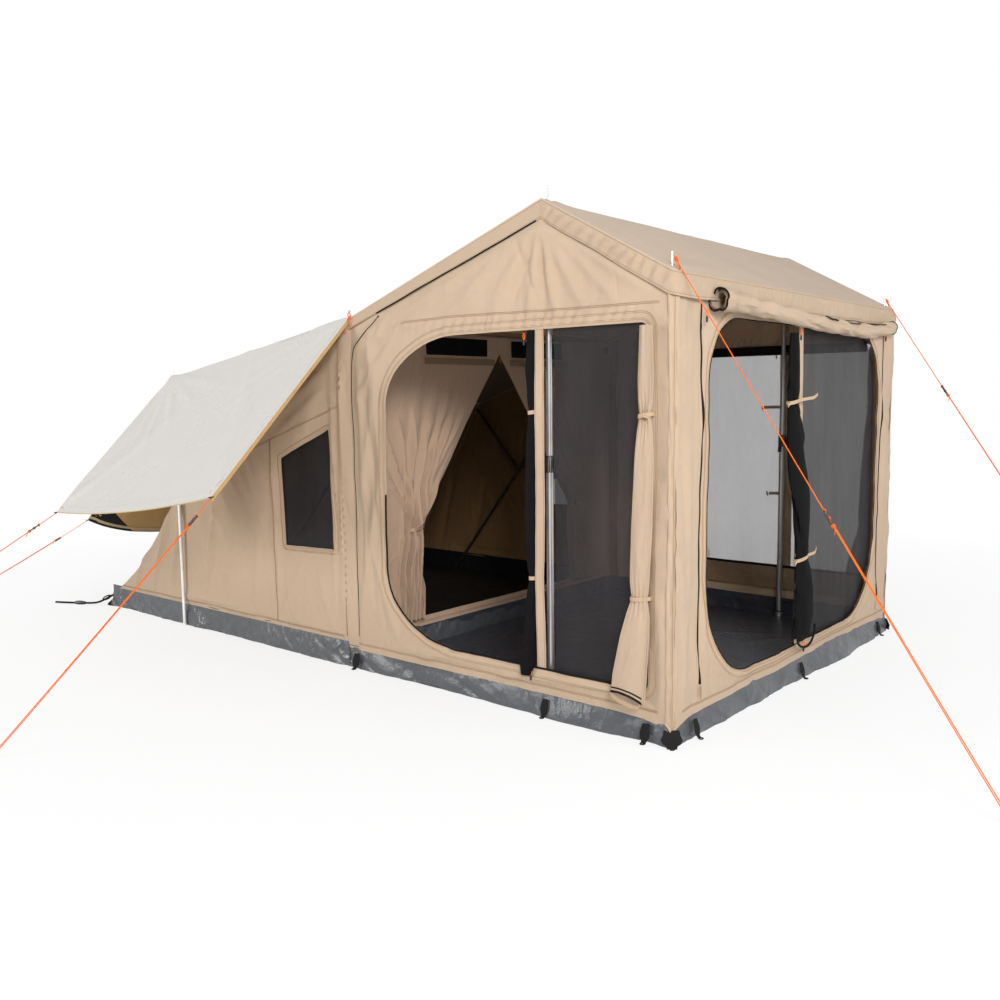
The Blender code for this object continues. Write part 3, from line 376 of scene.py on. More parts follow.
def coated(name, colour, roughness, crumple, mottle=0.12, creased=True):
    """Coated cloth: smooth, a little dusty, and creased or only softly waved."""
    tree = Tree(name)
    dust, scuff = tree.noise(2.3, 5, 0.6), tree.noise(60, 3, 0.7)
    tone = tree.mix(tree.spread(dust, 0.35, 0.7), shade(colour, 1 - mottle), shade(colour, 1 + mottle))
    tone = tree.mix(tree.spread(scuff, 0.58, 0.75, 0.0, 0.35), tone, shade(colour, 1.35))
    if creased:
        tree.raise_by(tree.noise(6.5, 6, 0.62, (0.6, 1, 1), 0.3), crumple)
        tree.raise_by(tree.creases(6.0, 0.7, (1, 0.5, 1), 0.04, 2.5), crumple * 0.30)
        tree.raise_by(tree.creases(11.0, -0.4, (1, 0.6, 1), 0.05, 4.0), crumple * 0.20)
        tree.raise_by(tree.noise(19, 4, 0.55, (1, 0.6, 1), 1.1), crumple * 0.35)
    else:
        tree.raise_by(tree.noise(2.2, 2, 0.5, (0.35, 1, 1)), crumple * 2.5)
    tree.raise_by(tree.crossed("MULTIPLY", 330), 0.0002, 0.4)
    shine = tree.spread(dust, 0.35, 0.7, roughness - 0.08, roughness + 0.14)
    return tree.set(Base_Color=tone, Roughness=shine, Specular_IOR_Level=0.5)


def metal(name, colour, roughness, metallic=1.0):
    tree = Tree(name)
    grain = tree.noise(220, 2, 0.5, (1, 1, 0.02), flat=False)
    smear = tree.noise(9, 3, 0.6, flat=False)
    tone = tree.mix(tree.spread(smear, 0.35, 0.65), shade(colour, 0.88), shade(colour, 1.05))
    tree.raise_by(grain, 0.0002, 0.35)
    shine = tree.spread(grain, 0.3, 0.7, roughness - 0.05, roughness + 0.08)
    return tree.set(Base_Color=tone, Roughness=shine, Metallic=metallic)


def moulded(name, colour, roughness=0.42):
    tree = Tree(name)
    grain, worn = tree.noise(420, 3, 0.6, flat=False), tree.noise(35, 4, 0.6, flat=False)
    tone = tree.mix(tree.spread(worn, 0.45, 0.75), shade(colour, 1.0), shade(colour, 1.9))
    tree.raise_by(grain, 0.0003, 0.4)
    return tree.set(Base_Color=tone, Roughness=tree.spread(worn, 0.4, 0.7, roughness, roughness + 0.15))


def braided(name, colour, fleck):
    """Round cord: slanting strands with a fleck in every few."""
    tree = Tree(name)
    bands = tree.crossed("MULTIPLY", 260, 0.9, -0.9)
    tone = tree.mix(tree.spread(bands, 0.1, 0.7), shade(colour, 0.85), shade(colour, 1.05))
    spots = tree.math("GREATER_THAN", tree.noise(90, 1, 0.5, (1, 1.6, 1)), 0.72)
    tone = tree.mix(spots, tone, shade(fleck, 1.0))
    tree.raise_by(bands, 0.0005, 0.6)
    return tree.set(Base_Color=tone, Roughness=0.68, Specular_IOR_Level=0.2)


TAN = (0.545, 0.408, 0.288)
LOOKS = {
    "canvas": woven("canvas_outside", TAN, glow=0.12, low_darkening=0.12),
    "canvas_back": woven("canvas_inside", (0.50, 0.365, 0.25), glow=0.12),
    # Painted shade: the main tent's inside face is the same canvas as the room's, painted darker and more
    # orange for the dim light inside the tent.
    "tent_inside_painted_shade": woven("main_tent_inside", (0.34, 0.190, 0.080), glow=0.10, crumple=0.006),
    "lining": woven("lining_cloth", (0.54, 0.375, 0.265), thread=0.0009, glow=0.16, crumple=0.0045),
    "roof": woven("roof_canvas", (0.580, 0.455, 0.345), mottle=0.05, glow=0.14, crumple=0.0028),
    "brown": woven("brown_panel", (0.115, 0.062, 0.030), roughness=0.9),
    "net": netting("dark_net", (0.018, 0.016, 0.018), 0.77),
    # Painted light: the right door's net is the same dark net as the others, painted pale grey for the
    # bright light that comes through it from behind.
    "far_net_painted_light": netting("pale_net_painted_light", (0.30, 0.295, 0.30), 0.62),
    "packed_net": woven("rolled_net", (0.007, 0.0065, 0.007), roughness=0.8, thread=0.0016),
    "binding": woven("black_binding", (0.012, 0.011, 0.011), roughness=0.75, thread=0.0018, crumple=0.001),
    "webbing": woven("black_webbing", (0.016, 0.015, 0.015), roughness=0.7, thread=0.0024, crumple=0.0005),
    "tape": woven("tan_tape", (0.50, 0.35, 0.225), thread=0.0018, crumple=0.0008),
    "thread": woven("sewing_thread", (0.36, 0.235, 0.135), thread=0.004, crumple=0.0),
    "ground_sheet": coated("ground_sheet_wall", (0.068, 0.072, 0.080), 0.25, 0.008, 0.05),
    "floor_inside": coated("floor_inside", (0.046, 0.050, 0.064), 0.34, 0.005, 0.06),
    # Painted shade: the inside of the main tent's ground sheet, the same coated sheet as the room's, is
    # painted nearly black for the dim inside of the tent.
    "floor_dark_painted_shade": coated("floor_dark_painted_shade", (0.010, 0.009, 0.009), 0.55, 0.005),
    "shiny_brown": coated("shiny_brown", (0.27, 0.175, 0.105), 0.30, 0.006),
    "olive": woven("olive_tape", (0.235, 0.160, 0.095), thread=0.0018, crumple=0.001),
    "orange": woven("orange_cord", (0.78, 0.14, 0.025), roughness=0.6, thread=0.0012, crumple=0.0004),
    "fly_top": coated("fly_silver", (0.535, 0.515, 0.480), 0.30, 0.0030, 0.02, False),
    "fly_under": woven("fly_gold", (0.78, 0.52, 0.22), thread=0.0008, glow=0.40, crumple=0.004),
    "fly_hem": woven("fly_hem", (0.50, 0.385, 0.21), thread=0.0012, crumple=0.001),
    "dark_tube": metal("dark_tube", (0.30, 0.285, 0.27), 0.36),
    "ridge_tube": metal("ridge_tube", (0.52, 0.51, 0.50), 0.30, 0.8),
    "silver_tube": metal("silver_tube", (0.88, 0.875, 0.86), 0.30, 0.6),
    "plastic": moulded("black_plastic", (0.016, 0.016, 0.017)),
    "rope": braided("orange_rope", (0.86, 0.155, 0.012), (0.30, 0.05, 0.02)),
    "peg": metal("steel_peg", (0.55, 0.54, 0.53), 0.38),
}


# Shapes

def unit(vectors):
    return vectors / np.maximum(np.linalg.norm(vectors, axis=-1, keepdims=True), 1e-12)


def run_along(line):
    """How far along a line each of its points lies."""
    return np.concatenate(([0], np.cumsum(np.linalg.norm(np.diff(line, axis=0), axis=1))))


def there_and_back(run):
    """Distances that grow to the middle of a closed line and shrink again, so that its ends meet."""
    return run[-1] / 2 - np.abs(run - run[-1] / 2)


def box(left, bottom, right, top):
    return [(left, bottom), (right, bottom), (right, top), (left, top)]


def lattice(i, j, seed):
    mixed = (i.astype(np.int64) * 73856093) ^ (j.astype(np.int64) * 19349663) ^ (seed * 83492791)
    mixed = ((mixed ^ (mixed >> 13)) * 1274126177) & 0x7FFFFFFF
    return ((mixed ^ (mixed >> 15)) & 0xFFFF) / 32767.5 - 1.0


def noise(u, v, size, seed=1):
    """Smooth noise from -1 to 1 over a flat place; size is the width of one hump, or one for each way."""
    wide, tall = size if isinstance(size, tuple) else (size, size)
    x, y = np.asarray(u) / wide, np.asarray(v) / tall
    i, j = np.floor(x), np.floor(y)
    fx, fy = x - i, y - j
    fx, fy = fx * fx * (3 - 2 * fx), fy * fy * (3 - 2 * fy)
    low = lattice(i, j, seed) * (1 - fx) + lattice(i + 1, j, seed) * fx
    high = lattice(i, j + 1, seed) * (1 - fx) + lattice(i + 1, j + 1, seed) * fx
    return low * (1 - fy) + high * fy


def folds(u, v, lines):
    """Long soft folds; each line is (u, v, u, v, width, height), and fades toward its ends."""
    total = np.zeros(np.broadcast(u, v).shape)
    for u0, v0, u1, v1, width, height in lines:
        du, dv = u1 - u0, v1 - v0
        length = math.hypot(du, dv)
        along = ((u - u0) * du + (v - v0) * dv) / length ** 2
        across = ((u - u0) * dv - (v - v0) * du) / length
        fade = np.clip(np.minimum(along, 1 - along) * 4 + 0.3, 0, 1)
        fade = np.where((along < -0.08) | (along > 1.08), 0, fade)
        total += height * fade * np.exp(-(across / width) ** 2)
    return total


class Sheets:
    """Points, flat places and faces gathered into one piece."""

    def __init__(self):
        self.points, self.flat, self.faces, self.looks, self.count = [], [], [], [], 0

    def add(self, points, flat, faces, look=0):
        points = np.asarray(points, float).reshape(-1, 3)
        self.points.append(points)
        self.flat.append(np.asarray(flat, float).reshape(-1, 2))
        self.faces += [tuple(int(k) + self.count for k in face) for face in faces]
        self.looks += [look] * len(faces)
        self.count += len(points)

    def layered(self, outer, inner, flat, faces, look=0, back=None):
        """Two layers of one cloth, closed round every edge."""
        n, back = len(outer), look if back is None else back
        faces = [tri for f in faces
                 for tri in ([f] if len(f) == 3 else [(f[0], f[1], f[2]), (f[0], f[2], f[3])])]
        used = dict.fromkeys(edge for face in faces for edge in zip(face, (*face[1:], face[0])))
        rim = [(b, a, a + n, b + n) for a, b in used if (b, a) not in used]
        turned = [tuple(k + n for k in reversed(face)) for face in faces]
        self.add(np.vstack((outer, inner)), np.vstack((flat, flat)), faces + turned + rim, look)
        first = len(self.faces) - len(rim) - len(turned)
        self.looks[first:first + len(turned)] = [back] * len(turned)

    def piece(self, name, looks, sharp=40):
        mesh = bpy.data.meshes.new(name)
        mesh.from_pydata(np.vstack(self.points).tolist(), [], self.faces)
        layer = mesh.uv_layers.new(name="flat")
        corner = np.empty(len(mesh.loops), np.int32)
        mesh.loops.foreach_get("vertex_index", corner)
        layer.data.foreach_set("uv", np.vstack(self.flat)[corner].astype(np.float32).ravel())
        mesh.polygons.foreach_set("material_index", np.array(self.looks, np.int32))
        for look in looks:
            mesh.materials.append(LOOKS[look])
        mesh.polygons.foreach_set("use_smooth", np.ones(len(mesh.polygons), bool))
        mesh.validate()
        mesh.set_sharp_from_angle(angle=math.radians(sharp))
        obj = bpy.data.objects.new(name, mesh)
        bpy.context.scene.collection.objects.link(obj)
        return obj


def grid_faces(rows, columns, ring=False):
    wide = columns if ring else columns - 1
    return [
        (r * columns + c, r * columns + (c + 1) % columns, (r + 1) * columns + (c + 1) % columns,
         (r + 1) * columns + c)
        for r in range(rows - 1) for c in range(wide)
    ]


def ring_faces(count, sides, closed=False):
    """The faces round a row of rings, with its two ends, or with its last ring joined to its first."""
    faces, last = grid_faces(count, sides, ring=True), (count - 1) * sides
    if closed:
        return faces + [(last + c, last + (c + 1) % sides, (c + 1) % sides, c) for c in range(sides)]
    return faces + [tuple(range(sides))[::-1], tuple(range(last, last + sides))]


def normals_of(grid):
    rows, columns = np.gradient(grid, axis=0), np.gradient(grid, axis=1)
    return unit(np.cross(columns, rows))


def flat_of(grid):
    """Each point's place on the cloth laid flat, in metres, from the lengths along the grid's lines."""
    u = np.cumsum(np.linalg.norm(np.diff(grid, axis=1, prepend=grid[:, :1]), axis=2), axis=1)
    v = np.cumsum(np.linalg.norm(np.diff(grid, axis=0, prepend=grid[:1]), axis=2), axis=0)
    return np.stack((u - u.mean(axis=1, keepdims=True), v), axis=2)


def add_grid(sheets, grid, relief=0.0, thick=CLOTH, look=0, back=None, up=None):
    """A cloth over a grid of points, raised along its normals, with a second layer under it."""
    normal = normals_of(grid)
    if up is not None and (normal * np.asarray(up, float)).sum() < 0:
        grid, normal = grid[:, ::-1], -normals_of(grid)[:, ::-1]
        relief = relief[:, ::-1] if isinstance(relief, np.ndarray) else relief
    raised = np.asarray(relief, float)
    raised = raised[..., None] if raised.ndim else raised
    outer, inner = grid + normal * raised, grid + normal * (raised - thick)
    flat, faces = flat_of(grid).reshape(-1, 2), grid_faces(*grid.shape[:2])
    sheets.layered(outer.reshape(-1, 3), inner.reshape(-1, 3), flat, faces, look, back)


def resampled(loop, step, closed=True):
    """Points about step apart along a line, with its corners kept."""
    points, ends = [], list(loop[1:]) + ([loop[0]] if closed else [])
    for (u0, v0), (u1, v1) in zip(loop, ends):
        count = max(1, round(math.hypot(u1 - u0, v1 - v0) / step))
        points += [(u0 + (u1 - u0) * k / count, v0 + (v1 - v0) * k / count) for k in range(count)]
    return points if closed else points + [tuple(loop[-1])]


def inside_of(loops, u, v):
    """True for points inside the first loop and outside the others."""
    inside = np.zeros(len(u), bool)
    for loop in loops:
        ring = np.array(loop)
        for (u0, v0), (u1, v1) in zip(ring, np.roll(ring, -1, axis=0)):
            if v0 != v1:
                crosses = (v0 > v) != (v1 > v)
                inside ^= crosses & (u < (u1 - u0) * (v - v0) / (v1 - v0) + u0)
    return inside


def filled(outline, holes=(), step=0.02):
    """Flat triangles over an outline with holes, as (places, faces)."""
    loops = [resampled(loop, step) for loop in (outline, *holes)]
    edge, joins = [], []
    for loop in loops:
        joins += [(len(edge) + k, len(edge) + (k + 1) % len(loop)) for k in range(len(loop))]
        edge += loop
    rim = np.array(edge)
    low, high = rim.min(axis=0), rim.max(axis=0)
    us, vs = np.arange(low[0], high[0], step), np.arange(low[1], high[1], step * 0.87)
    u, v = np.meshgrid(us, vs)
    u[1::2] += step / 2
    u, v = u.ravel(), v.ravel()
    kept = inside_of(loops, u, v)
    u, v = u[kept], v[kept]
    near = np.array([((rim - (a, b)) ** 2).sum(axis=1).min() for a, b in zip(u, v)])
    kept = near > (0.55 * step) ** 2
    places = np.vstack((rim, np.column_stack((u[kept], v[kept]))))
    made = delaunay_2d_cdt([Vector(p) for p in places], joins, [], 0, 1e-7)
    places = np.array([tuple(p) for p in made[0]])
    faces = np.array([tuple(face) for face in made[2]])
    centre = places[faces].mean(axis=1)
    return places, faces[inside_of(loops, centre[:, 0], centre[:, 1])].tolist()


def strip(sheets, place, line, width, height, look=0, closed=False, offset=0.0):
    """A raised band along a line of flat places; place turns (u, v, height) into points."""
    line = np.array(line, float)
    ahead = np.roll(line, -1, axis=0) - np.roll(line, 1, axis=0)
    if not closed:
        ahead[0], ahead[-1] = line[1] - line[0], line[-1] - line[-2]
    ahead = unit(ahead)
    across = np.column_stack((ahead[:, 1], -ahead[:, 0]))
    run = there_and_back(run_along(line)) if closed else run_along(line)
    ring = ((-0.5, -0.2), (-0.5, 0.6), (-0.3, 1.0), (0.3, 1.0), (0.5, 0.6), (0.5, -0.2))
    rows, flats = [], []
    for share, up in ring:
        at = line + across * (share * width + offset)
        rows.append(place(at[:, 0], at[:, 1], np.full(len(at), up * height)))
        flats.append(np.column_stack((np.full(len(at), share * width), run)))
    points, flat = np.stack(rows, axis=1), np.stack(flats, axis=1)
    sheets.add(points, flat, ring_faces(len(line), len(ring), closed), look)


def tube(sheets, line, radius, look=0, sides=10, shape=None):
    """A round tube along a line; shape scales its radius at each point."""
    line = np.array([tuple(p) for p in line], float)
    count = len(line)
    ahead = unit(np.gradient(line, axis=0))
    side = np.cross(ahead[0], (0, 0, 1) if abs(ahead[0][2]) < 0.9 else (1, 0, 0))
    frames = []
    for direction in ahead:
        side = unit(side - direction * (side @ direction))
        frames.append((side, np.cross(direction, side)))
    run = run_along(line)
    scale = np.ones(count) if shape is None else np.asarray(shape)
    angles = np.arange(sides) * 2 * math.pi / sides
    points = np.array([
        line[k] + radius * scale[k] * (math.cos(a) * frames[k][0] + math.sin(a) * frames[k][1])
        for k in range(count) for a in angles
    ])
    flat = np.array([(radius * a, run[k]) for k in range(count) for a in angles])
    sheets.add(points, flat, ring_faces(count, sides), look)


def flat_band(sheets, line, width, look, across=(1, 0, 0), half_thick=0.0008):
    """A thin closed band along a line."""
    line, side = np.array(line, float), np.array(across, float) * width / 2
    up = unit(np.cross(np.gradient(line, axis=0), side)) * half_thick
    ring = np.stack((line - side + up, line + side + up, line + side - up, line - side - up), axis=1)
    run = run_along(line)
    flats = [np.column_stack((np.full(len(line), s * width / 2), run)) for s in (-1, 1, 1, -1)]
    sheets.add(ring, np.stack(flats, axis=1), ring_faces(len(line), 4), look)


def circle(centre, one, other, steps=17):
    """A closed line round a centre; one and other are its two half widths."""
    return [centre + one * math.cos(a) + other * math.sin(a) for a in np.linspace(0, 2 * math.pi, steps)]


def smooth_line(points, steps=6):
    """A smooth curve through a few points."""
    p = [np.array(tuple(point), float) for point in points]
    p = [2 * p[0] - p[1], *p, 2 * p[-1] - p[-2]]
    line = []
    for a, b, c, d in zip(p, p[1:], p[2:], p[3:]):
        for k in range(steps):
            t = k / steps
            line.append(0.5 * (2 * b + (c - a) * t + (2 * a - 5 * b + 4 * c - d) * t ** 2
                               + (3 * b - a - 3 * c + d) * t ** 3))
    return line + [p[-2]]


def follow_room(obj):
    """Cloth of the front room, with its place baked into its mesh."""
    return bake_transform(obj)


def follow_fold(obj):
    """Cloth of the main tent, attached to the root with a mesh of its own."""
    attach(obj, "root")
    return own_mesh(obj)


def follow_root(obj):
    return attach(obj, "root")


# Ropes, with their tensioners and pegs

def fly_point(across, along):
    side = -1 if across < 0 else 1
    ridge_x = HALF + (FLY_POLE[0] - HALF) * along
    ridge_y = FRONT + FLY_FRONT + (FLY_POLE[1] - FLY_FRONT) * along
    front_z = roof_height(FRONT + FLY_FRONT) + FLY_LIFT
    ridge_z = front_z + (FLY_POLE[2] - front_z) * along
    if abs(across) <= 1:
        return Vector((ridge_x * across, ridge_y, ridge_z))
    out = abs(across) - 1
    edge_x, edge_front, edge_rear = FLY_CORNER
    edge_y = FRONT + FLY_FRONT + (FLY_REAR - FLY_FRONT) * along
    edge_z = edge_front + (edge_rear - edge_front) * along - FLY_EDGE_SAG * 4 * along * (1 - along)
    belly = -0.02 * 4 * out * (1 - out) * 4 * along * (1 - along)
    return Vector((
        side * (ridge_x + (edge_x - ridge_x) * out), ridge_y + (edge_y - ridge_y) * out,
        ridge_z + (edge_z - ridge_z) * out + belly,
    ))


def tail_point(across, down):
    start = fly_point(across, 1)
    tail_x, tail_y, tail_z = FLY_TAIL
    end = Vector((tail_x * across, FRONT + tail_y, tail_z - FLY_TAIL_DIP * (1 - across ** 4)))
    hang = Vector((0, 0, -0.04 * 4 * down * (1 - down) * (1 - across ** 2)))
    return start.lerp(end, down) + hang


def spigot_tie(y, height):
    return Vector((POLE_X, y - SPIGOT_RADIUS - ROPE_RADIUS - 0.0003, height + SPIGOT_HEIGHT - 0.014))


def corner_tie(corner, beside, behind, peg):
    normal = (beside - corner).cross(behind - corner).normalized()
    if normal.z < 0:
        normal = -normal
    start = corner - normal * CANVAS / 2
    away = Vector((*peg, PEG_HEIGHT)) - start
    return start + away.normalized() * (ROPE_RADIUS / 2)


PEGS = {
    "awning": (1.15, FRONT - 1.18), "wing_front": (2.87, FRONT + 2.0), "wing_rear": (2.88, FRONT + 4.01),
    "tail": (1.27, FRONT + 5.93),
}
TIES = {
    "awning": spigot_tie(CORNER_POLE_Y, roof_height(CORNER_POLE_Y)),
    "wing_front": corner_tie(fly_point(2, 0), fly_point(1.9, 0), fly_point(2, 0.1), PEGS["wing_front"]),
    "wing_rear": corner_tie(fly_point(2, 1), fly_point(1.9, 1), fly_point(2, 0.9), PEGS["wing_rear"]),
    "tail": corner_tie(tail_point(1, 1), tail_point(0.9, 1), tail_point(1, 0.9), PEGS["tail"]),
}
SHARES = {"awning": 0.50, "wing_front": 0.10, "wing_rear": 0.10, "tail": 0.30}
AWNING_RIGHT_SHARE = 0.27
GRIPS = {
    ("awning", "left"): "grip_awning_left", ("awning", "right"): "grip_awning_right",
    ("wing_front", "left"): "grip_wing_left", ("tail", "left"): "grip_tail_left",
}


class Rope:
    """One guy rope's route: from its tie to the tensioner, then doubled to the peg and back."""

    def __init__(self, kind, side, share):
        tie, peg = TIES[kind], PEGS[kind]
        self.start = Vector((side * tie[0], tie[1], tie[2]))
        self.end = Vector((side * peg[0], peg[1], PEG_HEIGHT))
        self.span, self.share = self.end - self.start, share
        self.length = self.span.length
        self.along = self.span.normalized()
        self.across = self.along.cross(Vector((0, 0, 1))).normalized()

    def at(self, part, offset=0.0):
        sag = ROPE_SAG * self.length * 4 * part * (1 - part)
        return self.start + self.span * part + self.across * offset - Vector((0, 0, sag))

    def route(self):
        share, rest = self.share, 1 - self.share
        parts = [share * k / 8 for k in range(8)] + [share + rest * k / 16 for k in range(17)]
        points = [self.at(part, ROPE_STRANDS * max(0, part - share) / rest) for part in parts]
        for step in range(1, 13):
            angle = math.pi * step / 12
            swing = self.across * math.cos(angle) + self.along * math.sin(angle)
            points.append(self.end + swing * ROPE_STRANDS)
        stop = share + (TENSIONER_LENGTH / 2 + ROPE_RADIUS) / self.length
        points += [self.at(1 - (1 - stop) * k / 14, -ROPE_STRANDS) for k in range(1, 15)]
        return points


def length_of(line):
    return sum((Vector(b) - Vector(a)).length for a, b in zip(line, line[1:]))


def make_tensioner(name, rope):
    """Flat bar with three eyes; the rope goes down through two of them and is tied at the last."""
    half, wide, thick = TENSIONER_LENGTH / 2 + 0.004, 0.0125, 0.005
    outline = []
    for centre, start in ((half - wide * 0.9, -90), (-half + wide * 0.9, 90)):
        for k in range(13):
            angle = math.radians(start + 15 * k)
            outline.append((centre + wide * 0.9 * math.cos(angle), wide * math.sin(angle)))
    holes = [
        [(centre + r * math.cos(a), r * math.sin(a)) for a in np.arange(12) * math.pi / 6]
        for centre, r in ((-0.017, 0.006), (0.0, 0.0045), (0.017, 0.006))
    ]
    places, faces = filled(outline, holes, 0.004)
    middle, up = rope.at(rope.share), rope.across.cross(rope.along)
    axes = np.array([rope.along, rope.across, up])

    def set_at(height):
        return np.array(middle) + np.column_stack((places, np.full(len(places), height))) @ axes

    sheets = Sheets()
    sheets.layered(set_at(thick / 2), set_at(-thick / 2), places, faces)
    for place in (-0.026, 0.004):
        line = [middle + rope.along * (place + 0.0045 * math.cos(a)) + up * 0.0065 * math.sin(a)
                + rope.across * 0.0015 * a for a in np.linspace(-2.6, 2.6, 22)]
        tube(sheets, line, ROPE_RADIUS, 1, 8)
    for k in range(3):
        centre = middle + rope.along * (0.030 + 0.0042 * k)
        tube(sheets, circle(centre, rope.across * 0.0060, up * 0.0060, 15), 0.0020, 1, 7)
    end = [middle + rope.along * 0.036, middle + rope.along * 0.045 - rope.across * 0.010 - up * 0.004,
           middle + rope.along * 0.060 - rope.across * 0.013 - up * 0.016]
    cord_line(sheets, end, 0.0018, 1)
    return sheets.piece(name, ["plastic", "rope"])


def make_peg(name, rope):
    """Round steel peg that leans away from the tent, with its hook over the rope."""
    away = Vector((rope.along.x, rope.along.y, 0)).normalized()
    foot = rope.end + Vector((0, 0, 0.002 - PEG_HEIGHT)) - away * 0.004
    top = foot + away * 0.018 + Vector((0, 0, 0.046))
    line = [foot, foot.lerp(top, 0.5), top]
    line += [top + away * (-0.010 + 0.010 * math.cos(a)) + Vector((0, 0, 0.010 * math.sin(a)))
             for a in np.linspace(0.5, 3.4, 9)]
    sheets = Sheets()
    tube(sheets, line, 0.0032, 0, 10)
    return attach(sheets.piece(name, ["peg"]), "root")


def make_knot(name, rope, body):
    """The turns and loose ends where a rope is tied to its spigot."""
    sheets, up = Sheets(), rope.across.cross(rope.along)
    for k in range(3):
        middle = rope.start + rope.along * (0.010 + 0.007 * k)
        turn = zip(circle(middle, rope.across * 0.0055, up * 0.0055, 15), np.linspace(0, 2 * math.pi, 15))
        tube(sheets, [place + rope.along * 0.001 * a for place, a in turn], 0.0020, 0, 7)
    for way, reach in ((-1, 0.080), (1, 0.115)):
        line = [rope.start + rope.along * 0.012]
        line += [rope.start + rope.along * reach * share + rope.across * way * out - up * drop
                 for share, out, drop in ((0.4, 0.010, 0.004), (0.8, 0.006, 0.012), (1.0, 0.0, 0.022))]
        cord_line(sheets, line, 0.0017, 0)
    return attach(sheets.piece(name, ["rope"]), body)


def make_ropes():
    for kind, usual in SHARES.items():
        for side, word in SIDES:
            share = AWNING_RIGHT_SHARE if (kind, word) == ("awning", "right") else usual
            rope = Rope(kind, side, share)
            route = rope.route()
            sheets = Sheets()
            tube(sheets, route, ROPE_RADIUS, 0, 8)
            obj = sheets.piece(f"rope_{kind}_{word}", ["rope"])
            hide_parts(f"guy_rope_{kind}_{word}")
            tensioner = make_tensioner(f"tensioner_bar_{kind}_{word}", rope)
            if (kind, word) in GRIPS:
                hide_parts(f"tensioner_{kind}_{word}")
            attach(tensioner, GRIPS.get((kind, word), "root"))
            if kind == "awning":
                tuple(rope.end)
                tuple(rope.start)
                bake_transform(obj)
            else:
                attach(obj, "root")
            peg = make_peg(f"peg_{kind}_{word}", rope)
            if kind == "awning":
                make_knot(f"knot_{word}", rope, f"corner_upper_{word}")
            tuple(rope.start)
            length_of(route)


# Outlines in the flat places of the walls; those of the sides count from the front of the tent

def rounded(box, radii, steps=14):
    """A rounded rectangle, anticlockwise; radii lists the corners from right top."""
    left, right, bottom, top = box
    corners = ((right, top, 1, 1), (left, top, -1, 1), (left, bottom, -1, -1), (right, bottom, 1, -1))
    points = []
    for quarter, ((x, y, side, end), size) in enumerate(zip(corners, radii)):
        centre = (x - side * size[0], y - end * size[1])
        for step in range(steps + 1):
            angle = math.pi / 2 * (quarter + step / steps)
            points.append((centre[0] + size[0] * math.cos(angle), centre[1] + size[1] * math.sin(angle)))
    return points


def clipped(outline, low, high):
    for limit, keep in ((low, 1), (high, -1)):
        kept = []
        for a, b in zip(outline, outline[1:] + outline[:1]):
            inside_a, inside_b = keep * (a[0] - limit) >= 0, keep * (b[0] - limit) >= 0
            if inside_a:
                kept.append(a)
            if inside_a != inside_b:
                share = (limit - a[0]) / (b[0] - a[0])
                kept.append((limit, a[1] + share * (b[1] - a[1])))
        outline = kept
    return outline


def side_door(grow=0.0):
    start, end, bottom, top = SIDE_DOOR
    round_in, corner = tuple(size + grow for size in SIDE_DOOR_ROUND), (0.03, 0.03)
    box = (start - grow, end + grow, bottom - grow, top + grow)
    return rounded(box, (round_in, corner, corner, round_in))


def front_door(grow=0.0):
    left, right, bottom, top = FRONT_DOOR
    high, low = (0.24 + grow, 0.32 + grow), (0.38 + grow, 0.44 + grow)
    return rounded((left - grow, right + grow, bottom - grow, top + grow), (high, high, low, low))


def halves(outline, middle):
    half = MULLION_WIDTH / 2
    return clipped(outline, -FAR, middle - half), clipped(outline, middle + half, FAR)


def fade(value, low, high, width):
    share = np.clip(np.minimum(np.asarray(value) - low, high - np.asarray(value)) / width, 0, 1)
    return share * share * (3 - 2 * share)


def side_place(side, out=0.0):
    def place(u, v, height):
        return np.column_stack((side * (HALF + out + height), FRONT + np.asarray(u), v))
    return place


def front_place(u, v, height):
    return np.column_stack((u, FRONT - np.asarray(height), v))


def on_relief(place, relief):
    """The same place, on top of the cloth's own relief."""
    def raised(u, v, height):
        return place(u, v, height + relief(u, v))
    return raised


def panel(sheets, outline, holes, place, relief, look=0, back=None, step=0.02, thick=CLOTH):
    places, faces = filled(outline, holes, step)
    u, v = places[:, 0], places[:, 1]
    height = relief(u, v)
    sheets.layered(place(u, v, height), place(u, v, height - thick), places, faces, look, back)


def net_panel(name, outline, place, relief, look="net", step=0.03):
    places, faces = filled(outline, (), step)
    sheets = Sheets()
    sheets.add(place(places[:, 0], places[:, 1], relief(places[:, 0], places[:, 1])), places, faces)
    return sheets.piece(name, [look])


def hem_line(sheets, place, line, offset, closed=True):
    """Two rows of stitches beside a line."""
    line = resampled(line, SEAM_STEP, closed)
    for more in (0.0, STITCH_ROWS):
        strip(sheets, place, line, STITCH_WIDTH, STITCH_HEIGHT, THREAD, closed, offset + more)


def bordered(sheets, place, outline, wide):
    """Doubled border round an opening, with its stitching and a narrow dark edge binding."""
    line = resampled(outline, SEAM_STEP)
    strip(sheets, place, line, wide, THIN_CLOTH, OUTSIDE, True, wide / 2 + 0.002)
    strip(sheets, place, line, 0.005, 0.0030, BINDING, True, 0.0015)
    hem_line(sheets, place, outline, 0.007)
    hem_line(sheets, place, outline, wide - 0.006)


def mullion_stitches(sheets, place, middle, door):
    """A row of stitches down each edge of the strip of canvas in the middle of a doorway."""
    line = resampled([(middle, door[2]), (middle, door[3])], 0.02, False)
    for offset in (-0.018, 0.018):
        strip(sheets, place, line, 0.0016, 0.0014, THREAD, False, offset)


